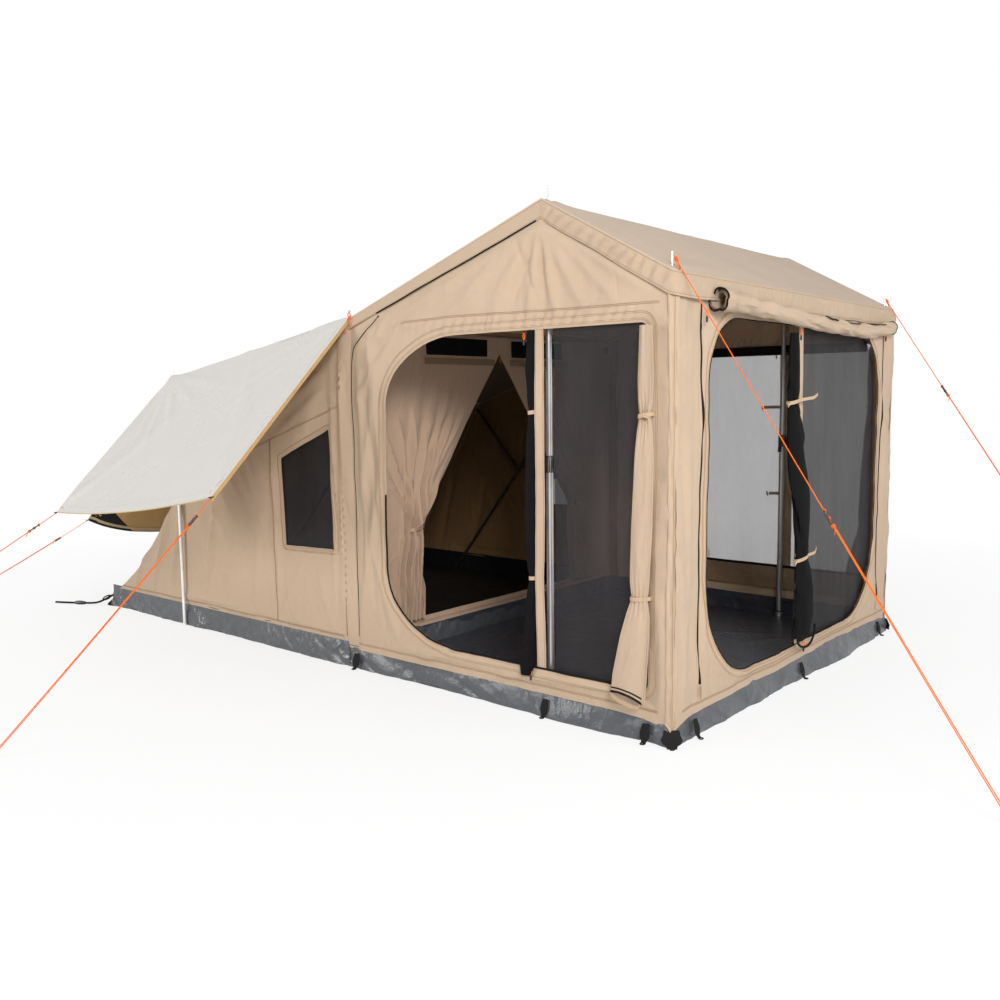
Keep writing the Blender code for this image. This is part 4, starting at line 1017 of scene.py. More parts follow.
def pull_tab(sheets, place, cord=CORD, grip=GRIP):
    """A zip's puller: a loop of cord, and a small grip hanging from it."""
    place = np.array(place, float)
    for shift in (-0.003, 0.003):
        line = [place + (0, shift * share, z) for share, z in ((1, 0.004), (1.6, -0.010), (0.4, -0.024))]
        tube(sheets, smooth_line(line, 4), 0.0018, cord, 6)
    line = [place + (0, 0, z) for z in (-0.022, -0.027, -0.040, -0.046)]
    tube(sheets, line, 0.0048, grip, 8, (0.6, 1, 1, 0.6))


SIDE_ZIP = (
    (1.590, 1.745), (1.646, 1.700),
    (1.715, 1.650), (1.772, 1.600), (1.784, 1.545), (1.792, 1.429), (1.793, 1.300), (1.786, 1.060),
    (1.782, 0.747), (1.784, 0.449), (1.790, 0.170),
)


def side_relief(u, v):
    """Front room's side wall: slack cloth that hangs from the ridge pole and is pulled at its corners."""
    u, v = np.asarray(u, float), np.asarray(v, float)
    cloth = 0.0075 * noise(u, v, (0.22, 0.60), 11) + 0.0040 * noise(u + 0.25 * v, v, (0.09, 0.30), 12)
    cloth += 0.0022 * noise(u + v * 0.4, v, (0.045, 0.10), 13)
    cloth += 0.0040 * noise(u + 1.4 * v, v - 0.5 * u, (0.11, 0.06), 15) * np.clip(1.6 - 14 * u, 0, 1)
    apex = [(0.612, 2.07, u1, v1, w, h) for u1, v1, w, h in (
        (0.10, 1.74, 0.024, 0.012), (0.24, 1.71, 0.020, 0.010), (0.40, 1.70, 0.028, 0.015),
        (0.53, 1.66, 0.022, 0.018), (0.60, 1.70, 0.016, -0.014), (0.68, 1.66, 0.024, 0.018),
        (0.78, 1.72, 0.018, -0.012), (0.88, 1.72, 0.028, 0.015), (1.12, 1.74, 0.026, 0.012),
        (1.40, 1.76, 0.022, 0.010),
    )]
    pulls = [
        (0.080, 1.70, 0.110, 0.90, 0.020, 0.006), (0.050, 1.05, 0.090, 0.20, 0.022, 0.006),
        (0.100, 1.25, 0.060, 0.40, 0.016, 0.004), (0.052, 0.60, 0.040, 0.12, 0.018, 0.006),
        (1.60, 1.55, 1.74, 0.85, 0.026, 0.015), (1.66, 1.68, 1.60, 1.00, 0.020, 0.012),
        (1.74, 1.58, 1.70, 0.50, 0.018, 0.013), (1.60, 1.00, 1.76, 0.30, 0.028, 0.015),
        (1.44, 1.68, 1.76, 1.34, 0.022, 0.014), (1.28, 1.72, 1.74, 1.60, 0.020, 0.010),
        (1.50, 1.80, 1.66, 1.55, 0.016, 0.010), (1.08, 1.86, 1.42, 1.70, 0.016, 0.008),
        (0.74, 2.00, 0.62, 1.72, 0.012, -0.010), (1.66, 0.60, 1.50, 0.20, 0.022, 0.012),
        (0.20, 0.185, 0.80, 0.145, 0.014, 0.010), (0.85, 0.165, 1.50, 0.155, 0.014, 0.009),
        (0.50, 0.19, 0.90, 0.12, 0.012, 0.007), (1.10, 0.20, 1.36, 0.12, 0.014, 0.008),
        (1.68, 1.30, 1.62, 0.70, 0.012, -0.010), (1.72, 0.95, 1.66, 0.30, 0.012, -0.008),
    ]
    cloth += folds(u, v, apex + pulls)
    head = np.exp(-((v - 1.672) / 0.024) ** 2) * fade(u, 0.10, 1.50, 0.1)
    slant = u + 0.6 * (v - 1.67)
    cloth += 0.0060 * head * np.sin(slant * 2 * math.pi / 0.052 + 5 * noise(u, v, 0.14, 14))
    top = np.interp(u, [0.0, RIDGE - FRONT, JOIN - FRONT], [EAVE_HEIGHT, RIDGE_HEIGHT, roof_height(JOIN)])
    tucked = np.clip((v - top + 0.115) / 0.040, 0, 1)
    cloth = np.minimum(0.008 + cloth, ROOM_RELIEF) * (1 - 0.85 * tucked)
    return cloth * fade(u, -0.03, 1.8, 0.030) * fade(v, 0.04, 2.2, 0.05)


def front_relief(u, v):
    """Front wall beside and under the door."""
    u, v = np.asarray(u, float), np.asarray(v, float)
    cloth = 0.0060 * noise(u, v, (0.20, 0.55), 21) + 0.0038 * noise(u, v, (0.07, 0.30), 22)
    cloth += 0.0022 * noise(u, v + u * 0.4, (0.045, 0.08), 23)
    pulled = np.clip((np.abs(u) - 1.0) * 12, 0, 1)
    cloth += 0.0040 * noise(u + 1.2 * v, v - 0.6 * u, (0.10, 0.06), 24) * pulled
    lines = []
    for side in (-1, 1):
        lines += [(side * a, b, side * c, d, e, f) for a, b, c, d, e, f in (
            (1.130, 1.72, 1.090, 0.85, 0.022, 0.007), (1.075, 1.70, 1.085, 0.60, 0.018, 0.005),
            (1.150, 0.95, 1.115, 0.16, 0.022, 0.007), (1.080, 0.80, 1.120, 0.16, 0.020, 0.006),
            (0.95, 1.60, 1.02, 1.15, 0.012, 0.009), (0.70, 0.14, 0.98, 0.32, 0.018, 0.012),
            (1.04, 1.66, 1.03, 0.8, 0.008, 0.006), (0.97, 0.60, 0.93, 0.16, 0.014, 0.010),
            (1.060, 0.50, 0.98, 0.15, 0.012, 0.009),
        )]
    lines += [(-0.85, 0.155, 0.05, 0.165, 0.014, 0.010), (0.10, 0.165, 0.90, 0.150, 0.014, 0.010)]
    cloth += folds(u, v, lines)
    held = fade(u, -HALF - 0.03, HALF + 0.03, 0.030) * fade(v, 0.04, 1.85, 0.05)
    return np.minimum(0.008 + cloth, ROOM_RELIEF) * held


def wavering(line, size, seed):
    """A zip's line, which wavers a little along its length."""
    points = np.array(resampled(line, 0.02, False))
    shift = size * noise(points[:, 1] * 3, points[:, 0] * 3, 0.3, seed)
    ahead = unit(np.gradient(points, axis=0))
    return points + np.column_stack((ahead[:, 1], -ahead[:, 0])) * shift[:, None]


def side_hem(end):
    """The side wall's lower edge, which dips to the front corner."""
    hem = ROOM_HEM - HEM_GAP
    return [(0.004, 0.064), (0.05, 0.078), (0.12, 0.091), (0.24, hem), (end, hem)]


def make_side_panel(side, word):
    """Side wall of the front room with its doorway, borders, seams and the zip that joins the main tent."""
    place, door = side_place(side), side_door()
    sheets = Sheets()
    outline = [
        *side_hem(JOIN - FRONT), (JOIN - FRONT, roof_height(JOIN) - 0.03),
        (RIDGE - FRONT, RIDGE_HEIGHT - 0.03), (0.004, EAVE_HEIGHT - 0.03),
    ]
    panel(sheets, outline, halves(door, SIDE_MULLION), place, side_relief, OUTSIDE, INSIDE, PANEL_STEP)
    on_cloth = on_relief(place, side_relief)
    line = np.array(resampled(door, SEAM_STEP))
    strip(sheets, on_cloth, line, 0.040, THIN_CLOTH, OUTSIDE, True, 0.022)
    low = [tuple(p) for p in line if p[1] < 0.90]
    start = max(range(len(low)), key=lambda k: math.dist(low[k], low[k - 1]))
    strip(sheets, on_cloth, low[start:] + low[:start], 0.009, ZIP_HEIGHT, BINDING, False, 0.0035)
    strip(sheets, on_cloth, line, 0.004, 0.0024, OUTSIDE, True, 0.001)
    hem_line(sheets, on_cloth, door, 0.010)
    hem_line(sheets, on_cloth, door, 0.036)
    mullion_stitches(sheets, on_cloth, SIDE_MULLION, SIDE_DOOR)
    header = [(0.060, 1.703), (0.60, 1.706), (1.15, 1.715), (1.43, 1.705)]
    for seam in (header, [(0.06, 0.135), (1.79, 0.135)]):
        hem_line(sheets, on_cloth, seam, 0.0, False)
    zip_line = wavering(SIDE_ZIP, 0.006, 31)
    strip(sheets, on_cloth, zip_line + (0.006, 0.0), 0.034, 0.0030, OUTSIDE)
    strip(sheets, on_cloth, zip_line, 0.008, ZIP_HEIGHT, BINDING)
    for spot in ((SIDE_MULLION + 0.060, 1.612, 0.030), (0.098, 1.612, 0.030), (0.084, 1.612, 0.030),
                 (SIDE_MULLION + 0.046, 0.196, 0.022)):
        pull_tab(sheets, place(*(np.array([value]) for value in spot))[0])
    if side > 0:
        far_wall_inside(sheets)
    looks = ["canvas", "canvas_back", "thread", "binding", "orange", "plastic", "shiny_brown"]
    obj = sheets.piece(f"side_cloth_{word}", looks)
    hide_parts(f"side_panel_{word}")
    return follow_room(obj)


def corner_grid(side):
    """Rounded front corner of the room, from the hem up to the eave; one column of points for each turn."""
    t, h = np.meshgrid(np.radians(np.linspace(-14, 104, 15)), np.linspace(0, 1, 75))
    low = 0.094 - 0.042 * np.exp(-((t - math.pi / 4) / 0.55) ** 2)
    z = low + (EAVE_HEIGHT - 0.05 - low) * h
    reach = 0.0245 + 0.0045 * noise(t, z * 0.7, (0.5, 0.30), 25 + side)
    reach = reach + 0.003 * noise(t + z * 2, z, (0.4, 0.11), 27)
    reach += 0.0028 * noise(t * 1.2 + z * 5, z, (0.9, 0.05), 29 + side)
    reach += 0.004 * np.exp(-((z - 1.66) / 0.05) ** 2) + 0.003 * np.exp(-h * 12)
    x, y = side * (HALF - 0.015 + reach * np.cos(t)), FRONT + 0.015 - reach * np.sin(t)
    return np.stack((x, y, z), axis=2)


def make_front_panel():
    """Front wall with the wide doorway between its two upright zips, and the rounded corners of the room."""
    sheets = Sheets()
    hem = side_hem(0.5)[:-1]
    outline = [(-HALF + u, v) for u, v in hem] + [(HALF - u, v) for u, v in reversed(hem)]
    outline += [(HALF - 0.004, EAVE_HEIGHT - 0.02), (-HALF + 0.004, EAVE_HEIGHT - 0.02)]
    openings = halves(front_door(), FRONT_MULLION)
    panel(sheets, outline, openings, front_place, front_relief, OUTSIDE, INSIDE, PANEL_STEP)
    on_cloth = on_relief(front_place, front_relief)
    bordered(sheets, on_cloth, front_door(), 0.034)
    for side in (-1, 1):
        line = wavering([(side * 1.0, 1.70), (side * 1.004, 1.0), (side * 1.0, 0.21)], 0.004, 40 + side)
        strip(sheets, on_cloth, line, 0.030, 0.0014, OUTSIDE)
        strip(sheets, on_cloth, line, 0.009, ZIP_HEIGHT, BINDING)
        pull_tab(sheets, (side * 1.0, FRONT - 0.030, 1.675))
        tape = [(side * 0.995, FRONT - 0.024, 0.205 - 0.01 * k) for k in range(6)]
        flat_band(sheets, tape, 0.013, OUTSIDE)
        grid = corner_grid(side)
        add_grid(sheets, grid, look=OUTSIDE, back=INSIDE, thick=THIN_CLOTH, up=(side, -1, 0))
        tube(sheets, grid[:, 7] + (side * 0.0006, -0.0006, 0), 0.0012, THREAD, 5)
        tube(sheets, grid[1], 0.0010, THREAD, 5)
    hem_line(sheets, on_cloth, [(-1.13, 0.135), (1.13, 0.135)], 0.0, False)
    mullion_stitches(sheets, on_cloth, FRONT_MULLION, FRONT_DOOR)
    pull_tab(sheets, (FRONT_MULLION + 0.050, FRONT - 0.022, 0.176))
    pull_tab(sheets, (FRONT_MULLION - 0.052, FRONT - 0.022, 1.640))
    obj = sheets.piece("front_cloth", ["canvas", "canvas_back", "thread", "binding", "orange", "plastic"])
    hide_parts("front_panel")
    return follow_room(obj)


def net_relief(seed, slant=0.0):
    def relief(u, v):
        u, v = np.asarray(u, float), np.asarray(v, float)
        wave = 0.0045 * noise(u + slant * v, v, (0.07, 0.8), seed)
        wave = wave + 0.0025 * noise(u + slant * v, v, (0.03, 0.5), seed + 1)
        lines = [(0.12 + 0.09 * k, 1.62, 0.20 + 0.10 * k, 0.24, 0.012, 0.004) for k in range(5)]
        return wave - NET_SETBACK + (folds(u, v, lines) if slant == 0 else 0)
    return relief


def make_room_nets():
    """The nets that are closed: the front half of the left door, the whole right door, half the front."""
    pole_gap = 0.566
    for side, word, outline, look, flat, area in (
        (-1, "left", clipped(side_door(NET_OVERLAP), -FAR, pole_gap), "net", (0.46, 1.44), 0.65),
        # the right door's net takes the pale look, with painted light from behind
        (1, "right", side_door(NET_OVERLAP), "far_net_painted_light", (1.47, 1.44), 1.96),
    ):
        relief = net_relief(51 + side, side * 0.3)
        obj = net_panel(f"door_net_{word}", outline, side_place(side), relief, look)
        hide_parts(f"door_mesh_{word}")
        follow_room(obj)
    outline = clipped(front_door(NET_OVERLAP), FRONT_MULLION, FAR)
    obj = net_panel("door_net_front", outline, front_place, net_relief(61))
    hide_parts("door_mesh_front")
    follow_room(obj)


def spaced_at(*stops, step=0.03):
    """Numbers from stop to stop, about step apart, with each stop kept."""
    values = []
    for low, high in zip(stops, stops[1:]):
        values += list(np.linspace(low, high, max(2, round(abs(high - low) / step) + 1)))[:-1]
    return np.array(values + [stops[-1]])


def roof_sag(x, y, deep, start, end):
    """How far the roof hangs between its edges."""
    across = np.clip(1 - (x / HALF) ** 4, 0, 1)
    return deep * across * np.clip((y - start) * (end - y) * 4 / (end - start) ** 2, 0, 1)


def valance_path():
    """The roof's edge from one side's back, round the front, to the other: x, y, outward x and y."""
    r = EDGE_ROUND
    left = [(-HALF, y, -1, 0) for y in spaced_at(JOIN, RIDGE, FRONT + r, step=0.008)]
    turns = np.radians(np.linspace(9, 81, 7))
    corner = [(-HALF + r - r * math.cos(a), FRONT + r - r * math.sin(a), -math.cos(a), -math.sin(a))
              for a in turns]
    front = [(x, FRONT, 0, -1) for x in spaced_at(-HALF + r, HALF - r, step=0.010)]
    half = left + corner + front
    return np.array(half + [(-x, y, -nx, ny) for x, y, nx, ny in reversed(left + corner)])


def make_awning_roof():
    """The front room's gabled roof with its puckered valance, edge piping and ridge seam."""
    ys = spaced_at(FRONT, RIDGE - 0.02, RIDGE + 0.02, JOIN, step=0.025)
    x, y = np.meshgrid(spaced_at(-HALF, HALF), ys)
    z = np.where(y < RIDGE, EAVE_HEIGHT + (y - FRONT) * FRONT_SLOPE, RIDGE_HEIGHT - (y - RIDGE) * BACK_SLOPE)
    z -= np.where(y < RIDGE, roof_sag(x, y, 0.014, FRONT, RIDGE), roof_sag(x, y, 0.016, RIDGE, JOIN))
    z -= 0.006 * np.exp(-((y - RIDGE) / 0.012) ** 2)
    wrinkle = 0.0022 * noise(x, y, (0.35, 0.12), 71) + 0.0014 * noise(x + y, y, (0.10, 0.16), 72)
    rays = []
    for side in (-1, 1):
        corner = side * 1.16
        for k in range(7):
            rays += [
                (corner, FRONT + 0.03, side * (0.95 - 0.17 * k), FRONT + 0.50 - 0.05 * k, 0.012, 0.004),
                (corner, RIDGE, side * (0.85 - 0.12 * k), FRONT + 0.10 + 0.04 * k, 0.012, 0.003),
                (corner, RIDGE, side * (0.80 - 0.12 * k), RIDGE + 0.45 + 0.08 * k, 0.014, 0.003),
            ]
    wrinkle += folds(x, y, rays)
    wrinkle *= fade(x, -HALF, HALF, 0.05) * fade(y, FRONT, JOIN, 0.05)
    sheets = Sheets()
    add_grid(sheets, np.stack((x, y, z), axis=2), wrinkle, look=OUTSIDE, back=INSIDE, up=(0, 0, 1))
    path = valance_path()
    s, d = np.meshgrid(run_along(path[:, :2]), np.linspace(0, 1, 12))
    y = np.broadcast_to(path[:, 1], s.shape)
    slope = np.clip((RIDGE - y) / 0.05, 0, 1)
    stops = [FRONT, RIDGE, JOIN]
    top = np.interp(y, stops, [EAVE_HEIGHT, RIDGE_HEIGHT, roof_height(JOIN)])
    deep = np.interp(y, stops, [EAVE_VALANCE, RIDGE_VALANCE, JOIN_VALANCE])
    front = np.clip((FRONT + EDGE_ROUND - y) / EDGE_ROUND, 0, 1)
    wave = np.sin((s + 0.55 * deep * d) * 2 * math.pi / 0.050 + 4.5 * noise(s, d, (0.13, 1.5), 73))
    size = (0.0095 - 0.0065 * front) * (0.80 + 0.5 * noise(s, d, (0.19, 0.9), 77))
    pucker = wave * size * np.sin(np.clip(d * 1.05, 0, 1) * math.pi) * slope
    swell = (0.005 + 0.012 * np.sin(d * math.pi * 0.6)) * (0.60 + 0.40 * slope) * (1 + 0.4 * front)
    swell += 0.0035 * noise(s, d, (0.22, 1.6), 74) * d + 0.002 * noise(s, d, (0.07, 0.5), 75) * d
    out = swell + np.maximum(pucker, 0.002 - swell)
    flutter = 0.004 * noise(s, d, (0.16, 9.0), 76) * d
    ways = np.stack((path[:, 2] + 0 * out, path[:, 3] + 0 * out, 0 * out), axis=2)
    down = top - deep * d - flutter
    grid = np.stack((path[:, 0] + path[:, 2] * out, path[:, 1] + path[:, 3] * out, down), axis=2)
    inner, flat = grid - ways * 0.0020, np.stack((s, deep * d), axis=2)
    faces = grid_faces(*grid.shape[:2])
    sheets.layered(grid.reshape(-1, 3), inner.reshape(-1, 3), flat.reshape(-1, 2), faces, 3, 1)
    for side in (-1, 1):
        zipped = (path[:, 1] > RIDGE + 0.02) & (path[:, 1] < FRONT + 1.60) & (path[:, 0] * side > 0)
        tube(sheets, grid[-1][zipped] + ways[-1][zipped] * 0.001, 0.0030, 4, 6)
    for row in (1, -2):
        tube(sheets, grid[row] + ways[row] * 0.0004, 0.0010, 2, 5)
    piping = np.column_stack((path[:, :2] + path[:, 2:] * 0.003, top[0] - 0.003))
    tube(sheets, piping, PIPING_RADIUS, 0, 8)
    obj = sheets.piece("awning_roof_cloth", ["roof", "canvas_back", "thread", "canvas", "binding"])
    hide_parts("awning_roof")
    return follow_room(obj)


def rear_profile(count=60):
    """The sloping rear wall from the roof's back edge down to the hem, as (y, z)."""
    top_y, top_z = ROOF_BACK, ROOF_BACK_HEIGHT - 0.006
    hem_y, hem_z = REAR - REAR_HEM_SLOPE, MAIN_HEM - 0.010
    share = np.linspace(0, 1, count)
    sag = REAR_SAG * 4 * share * (1 - share)
    return list(zip(top_y + (hem_y - top_y) * share, top_z + (hem_z - top_z) * share - sag))


def main_relief(u, v):
    """Side wall of the main tent, tight between the frame and the ground."""
    u, v = np.asarray(u, float), np.asarray(v, float)
    cloth = 0.0050 * noise(u, v, (0.28, 0.60), 81) + 0.0024 * noise(u + 0.3 * v, v, (0.07, 0.35), 82)
    cloth += 0.0010 * noise(u, v, (0.03, 0.08), 84)
    lines = [
        (1.86, 1.68, 1.90, 0.25, 0.016, 0.010), (1.93, 1.62, 1.97, 0.20, 0.013, 0.007),
        (1.84, 1.30, 1.86, 0.20, 0.009, 0.006), (2.78, 1.16, 2.49, 0.78, 0.012, 0.0050),
        (2.86, 1.10, 2.52, 0.62, 0.012, 0.0055), (2.95, 1.06, 2.60, 0.58, 0.014, 0.0055),
        (3.06, 0.98, 2.70, 0.50, 0.014, 0.0050), (2.68, 1.18, 2.47, 0.95, 0.010, 0.0045),
        (3.16, 0.92, 2.84, 0.45, 0.014, 0.0045), (2.00, 1.50, 2.45, 1.24, 0.022, 0.011),
        (2.10, 1.55, 2.75, 1.22, 0.020, 0.009), (1.98, 1.42, 2.40, 1.17, 0.014, 0.006),
        (3.00, 0.80, 3.16, 0.20, 0.020, 0.009), (3.34, 0.80, 3.52, 0.18, 0.024, 0.012),
        (3.52, 0.66, 3.74, 0.18, 0.020, 0.010), (3.72, 0.50, 3.95, 0.17, 0.018, 0.009),
        (2.60, 0.60, 2.66, 0.18, 0.016, 0.006), (2.46, 1.10, 2.44, 0.20, 0.012, 0.007),
        (2.20, 0.55, 2.42, 0.17, 0.015, 0.006), (2.10, 0.50, 1.98, 0.17, 0.014, 0.006),
        (2.60, 0.17, 3.40, 0.19, 0.014, 0.006),
    ]
    cloth += folds(u, v, lines)
    return np.minimum(0.007 + 1.8 * cloth, MAIN_RELIEF) * fade(u, 1.79, 4.2, 0.03) * fade(v, 0.12, 2.0, 0.03)


def make_main_walls():
    """Side walls of the main tent, each with its window, seams and net."""
    profile = [(y - FRONT, z) for y, z in rear_profile(24)]
    start = JOIN - FRONT - 0.004
    outline = [(start, ROOM_HEM - HEM_GAP), (1.87, ROOM_HEM - HEM_GAP), (1.872, MAIN_HEM - HEM_GAP),
               (profile[-1][0], MAIN_HEM - HEM_GAP), *profile[-2::-1],
               (ROOF_BACK - FRONT, ROOF_BACK_HEIGHT - 0.004), (start, roof_height(JOIN) - 0.004)]
    middle = np.array(WINDOW).mean(axis=0)
    net = [tuple(middle + (np.array(p) - middle) * 1.04) for p in WINDOW]
    for side, word in SIDES:
        place, sheets = side_place(side), Sheets()
        panel(sheets, outline, [WINDOW], place, main_relief, OUTSIDE, INSIDE, step=0.024)
        on_cloth = on_relief(place, main_relief)
        strip(sheets, on_cloth, resampled(WINDOW, 0.015), 0.022, THIN_CLOTH, OUTSIDE, True, 0.010)
        hem_line(sheets, on_cloth, WINDOW, 0.004)
        hem_line(sheets, on_cloth, WINDOW, 0.020)
        for seam in ([(1.90, 1.322), (2.47, 1.141), (3.52, 0.80)], [(2.458, 1.142), (2.452, 0.155)],
                     [(1.90, 0.158), (4.10, 0.158)], [(1.875, 1.68), (1.872, 0.16)],
                     [(1.93, 1.66), (3.06, 1.27)]):
            hem_line(sheets, on_cloth, seam, 0.0, False)
        obj = sheets.piece(f"main_wall_cloth_{word}", ["canvas", "tent_inside_painted_shade", "thread"])
        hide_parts(f"main_wall_{word}")
        follow_fold(obj)
        pane = net_panel(f"window_net_{word}", net, place,
                         lambda u, v: -0.006 + 0.001 * noise(u, v, 0.1, 83))
        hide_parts(f"window_mesh_{word}")
        follow_fold(pane)


def make_main_roof():
    """Roof sheet behind the front room, and the rear wall that sweeps down to the ground sheet."""
    start = JOIN - 0.012
    xs = spaced_at(-HALF, HALF)
    x, y = np.meshgrid(xs, spaced_at(start, ROOF_BACK, step=0.025))
    z = RIDGE_HEIGHT - (y - RIDGE) * BACK_SLOPE - roof_sag(x, y, 0.010, start, ROOF_BACK) - 0.002
    wrinkle = 0.0020 * noise(x, y, (0.30, 0.12), 91) + 0.0012 * noise(x, y, (0.09, 0.2), 92)
    wrinkle = wrinkle * fade(x, -HALF, HALF, 0.05)
    sheets = Sheets()
    add_grid(sheets, np.stack((x, y, z), axis=2), wrinkle, look=OUTSIDE, back=INSIDE, up=(0, 0, 1))
    for side in (-1, 1):
        edge = [(side * (HALF + 0.001), yy, roof_height(yy) - 0.003)
                for yy in spaced_at(JOIN + 0.01, ROOF_BACK, step=0.03)]
        tube(sheets, edge, PIPING_RADIUS, 0, 8)
    roof = sheets.piece("main_roof_cloth", ["roof", "tent_inside_painted_shade"])
    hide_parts("main_roof")
    follow_fold(roof)
    profile = np.array(rear_profile())
    grid = np.stack([np.column_stack((np.full(len(profile), xx), profile)) for xx in xs], axis=1)
    s, d = np.meshgrid(xs, np.linspace(0, 1.7, len(profile)))
    wrinkle = 0.004 * noise(s, d, (0.16, 0.7), 93) + 0.002 * noise(s, d, (0.06, 0.3), 94)
    rays = [(side * 1.15, 0.04, side * (0.9 - 0.22 * k), 1.1 + 0.08 * k, 0.016, 0.006)
            for side in (-1, 1) for k in range(4)]
    rays += [(side * 1.12, 1.66, side * (0.85 - 0.2 * k), 0.7, 0.018, 0.006)
             for side in (-1, 1) for k in range(4)]
    wrinkle = (wrinkle + folds(s, d, rays)) * fade(s, -HALF, HALF, 0.04) * fade(d, 0, 1.7, 0.04)
    sheets = Sheets()
    add_grid(sheets, grid, wrinkle, look=OUTSIDE, back=INSIDE, up=(0, 1, 1))
    for side in (-1, 1):
        tube(sheets, [(side * (HALF + 0.001), yy, zz - 0.002) for yy, zz in profile], PIPING_RADIUS, 0, 8)
    flat_band(sheets, [(0.0, yy, zz - 0.006) for yy, zz in profile if 0.75 > zz > 0.34], 0.03, 2)
    for xx in (-0.62, 0.62):
        tube(sheets, [(xx, yy, zz + 0.0025) for yy, zz in profile], 0.0022, 0, 6)
    rear = sheets.piece("rear_wall_cloth", ["canvas", "tent_inside_painted_shade", "webbing"])
    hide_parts("main_rear_wall")
    follow_fold(rear)


# The main tent's doorway wall and the cloth that is tied back or rolled up

def inner_place(u, v, height):
    return np.column_stack((u, MAIN_FRONT - np.asarray(height), v))


def inner_relief(u, v):
    u, v = np.asarray(u, float), np.asarray(v, float)
    cloth = 0.0045 * noise(u, v, (0.20, 0.5), 101) + 0.0025 * noise(u, v, (0.07, 0.2), 102)
    held = fade(u, -HALF, HALF, 0.04) * fade(v, 0.14, 1.75, 0.03)
    return cloth * held + 0.010 * np.clip((0.165 - v) / 0.05, 0, 1) - 0.004


def make_inner_wall():
    """The wall between the front room and the main tent, with its rounded doorway and seams."""
    sheets = Sheets()
    wide, top = HALF - 0.0045, roof_height(MAIN_FRONT) - 0.012
    doorway = rounded(DOORWAY, ((0.30, 0.30), (0.30, 0.30), (0.03, 0.03), (0.03, 0.03)))
    outline = box(-wide, ROOM_HEM, wide, top)
    panel(sheets, outline, [doorway], inner_place, inner_relief, OUTSIDE, INSIDE, step=0.03)
    on_cloth = on_relief(inner_place, inner_relief)
    hem_line(sheets, on_cloth, doorway, 0.026)
    for x in (-1.03, -0.84, 0.84, 1.03):
        hem_line(sheets, on_cloth, [(x, 0.17), (x, 1.66)], 0.0, False)
    obj = sheets.piece("inner_wall_cloth", ["lining", "lining", "thread"])
    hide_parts("main_front_wall")
    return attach(obj, "root")


def spans(*parts):
    """Numbers from start to stop, for each (start, stop, count) in turn."""
    return np.concatenate([np.linspace(*part) for part in parts])


def edges_at(rows, heights):
    """Both edges of a gathered cloth at some heights; rows of (height, edge, edge) go from the top down."""
    levels, first, second = np.array(rows)[::-1].T
    return np.interp(heights, levels, first), np.interp(heights, levels, second)


CURTAIN_EDGE, CURTAIN_CLOTH, CURTAIN_PLEATS = 0.065, 0.80, 6
CURTAIN = (
    (1.700, 0.740, -0.006), (1.600, 0.742, 0.004), (1.430, 0.750, 0.135), (1.200, 0.765, 0.310),
    (1.020, 0.780, 0.430), (0.840, 0.790, 0.560), (0.720, 0.792, 0.662), (CURTAIN_TIE_HEIGHT, 0.790, 0.690),
    (0.560, 0.798, 0.682), (0.380, 0.815, 0.688), (0.165, 0.830, 0.698),
)
FLAP = (
    (1.600, 0.074, 0.128), (1.420, 0.070, 0.134), (1.330, 0.076, 0.132), (FLAP_TIES[0], 0.084, 0.126),
    (1.230, 0.076, 0.134), (1.120, 0.070, 0.144), (0.850, 0.072, 0.160), (0.640, 0.084, 0.166),
    (FLAP_TIES[1], 0.092, 0.160), (0.510, 0.082, 0.182), (0.420, 0.084, 0.208), (0.260, 0.096, 0.244),
    (0.172, 0.106, 0.252),
)


def band_round(sheets, centre, half_wide, half_deep, tall, look, across=(1, 0, 0), deep=(0, 1, 0),
               slack=0.0):
    """A flat tie round a bundle."""
    centre, across, deep = np.array(centre, float), np.array(across, float), np.array(deep, float)
    angles = np.linspace(0, 2 * math.pi, 33)[:-1]
    up = np.cross(across, deep)
    rows, flats = [], []
    for lift, grow in ((-0.5, 0.0), (-0.5, 0.0014), (0.5, 0.0014), (0.5, 0.0)):
        wide, thick = half_wide + grow, half_deep + grow
        rows.append([centre + across * wide * math.cos(a) + deep * thick * math.sin(a)
                     + up * (lift * tall + slack * math.cos(a)) for a in angles])
        flats.append([(a * half_wide, lift * tall) for a in angles])
    sheets.add(rows, flats, ring_faces(4, len(angles), closed=True), look)


def toggle(sheets, place, along, look, length=0.030, radius=0.0045):
    """Small turned toggle with a waist."""
    place, along = np.array(place, float), unit(np.array(along, float))
    shares = np.linspace(-0.5, 0.5, 11)
    shape = [0.45 + 0.55 * math.sqrt(max(0.0, 1 - (2 * s) ** 4)) - 0.25 * math.exp(-(s / 0.10) ** 2)
             for s in shares]
    tube(sheets, [place + along * s * length for s in shares], radius, look, 10, shape)


def cord_line(sheets, points, radius, look, steps=5):
    tube(sheets, smooth_line(points, steps), radius, look, 7)


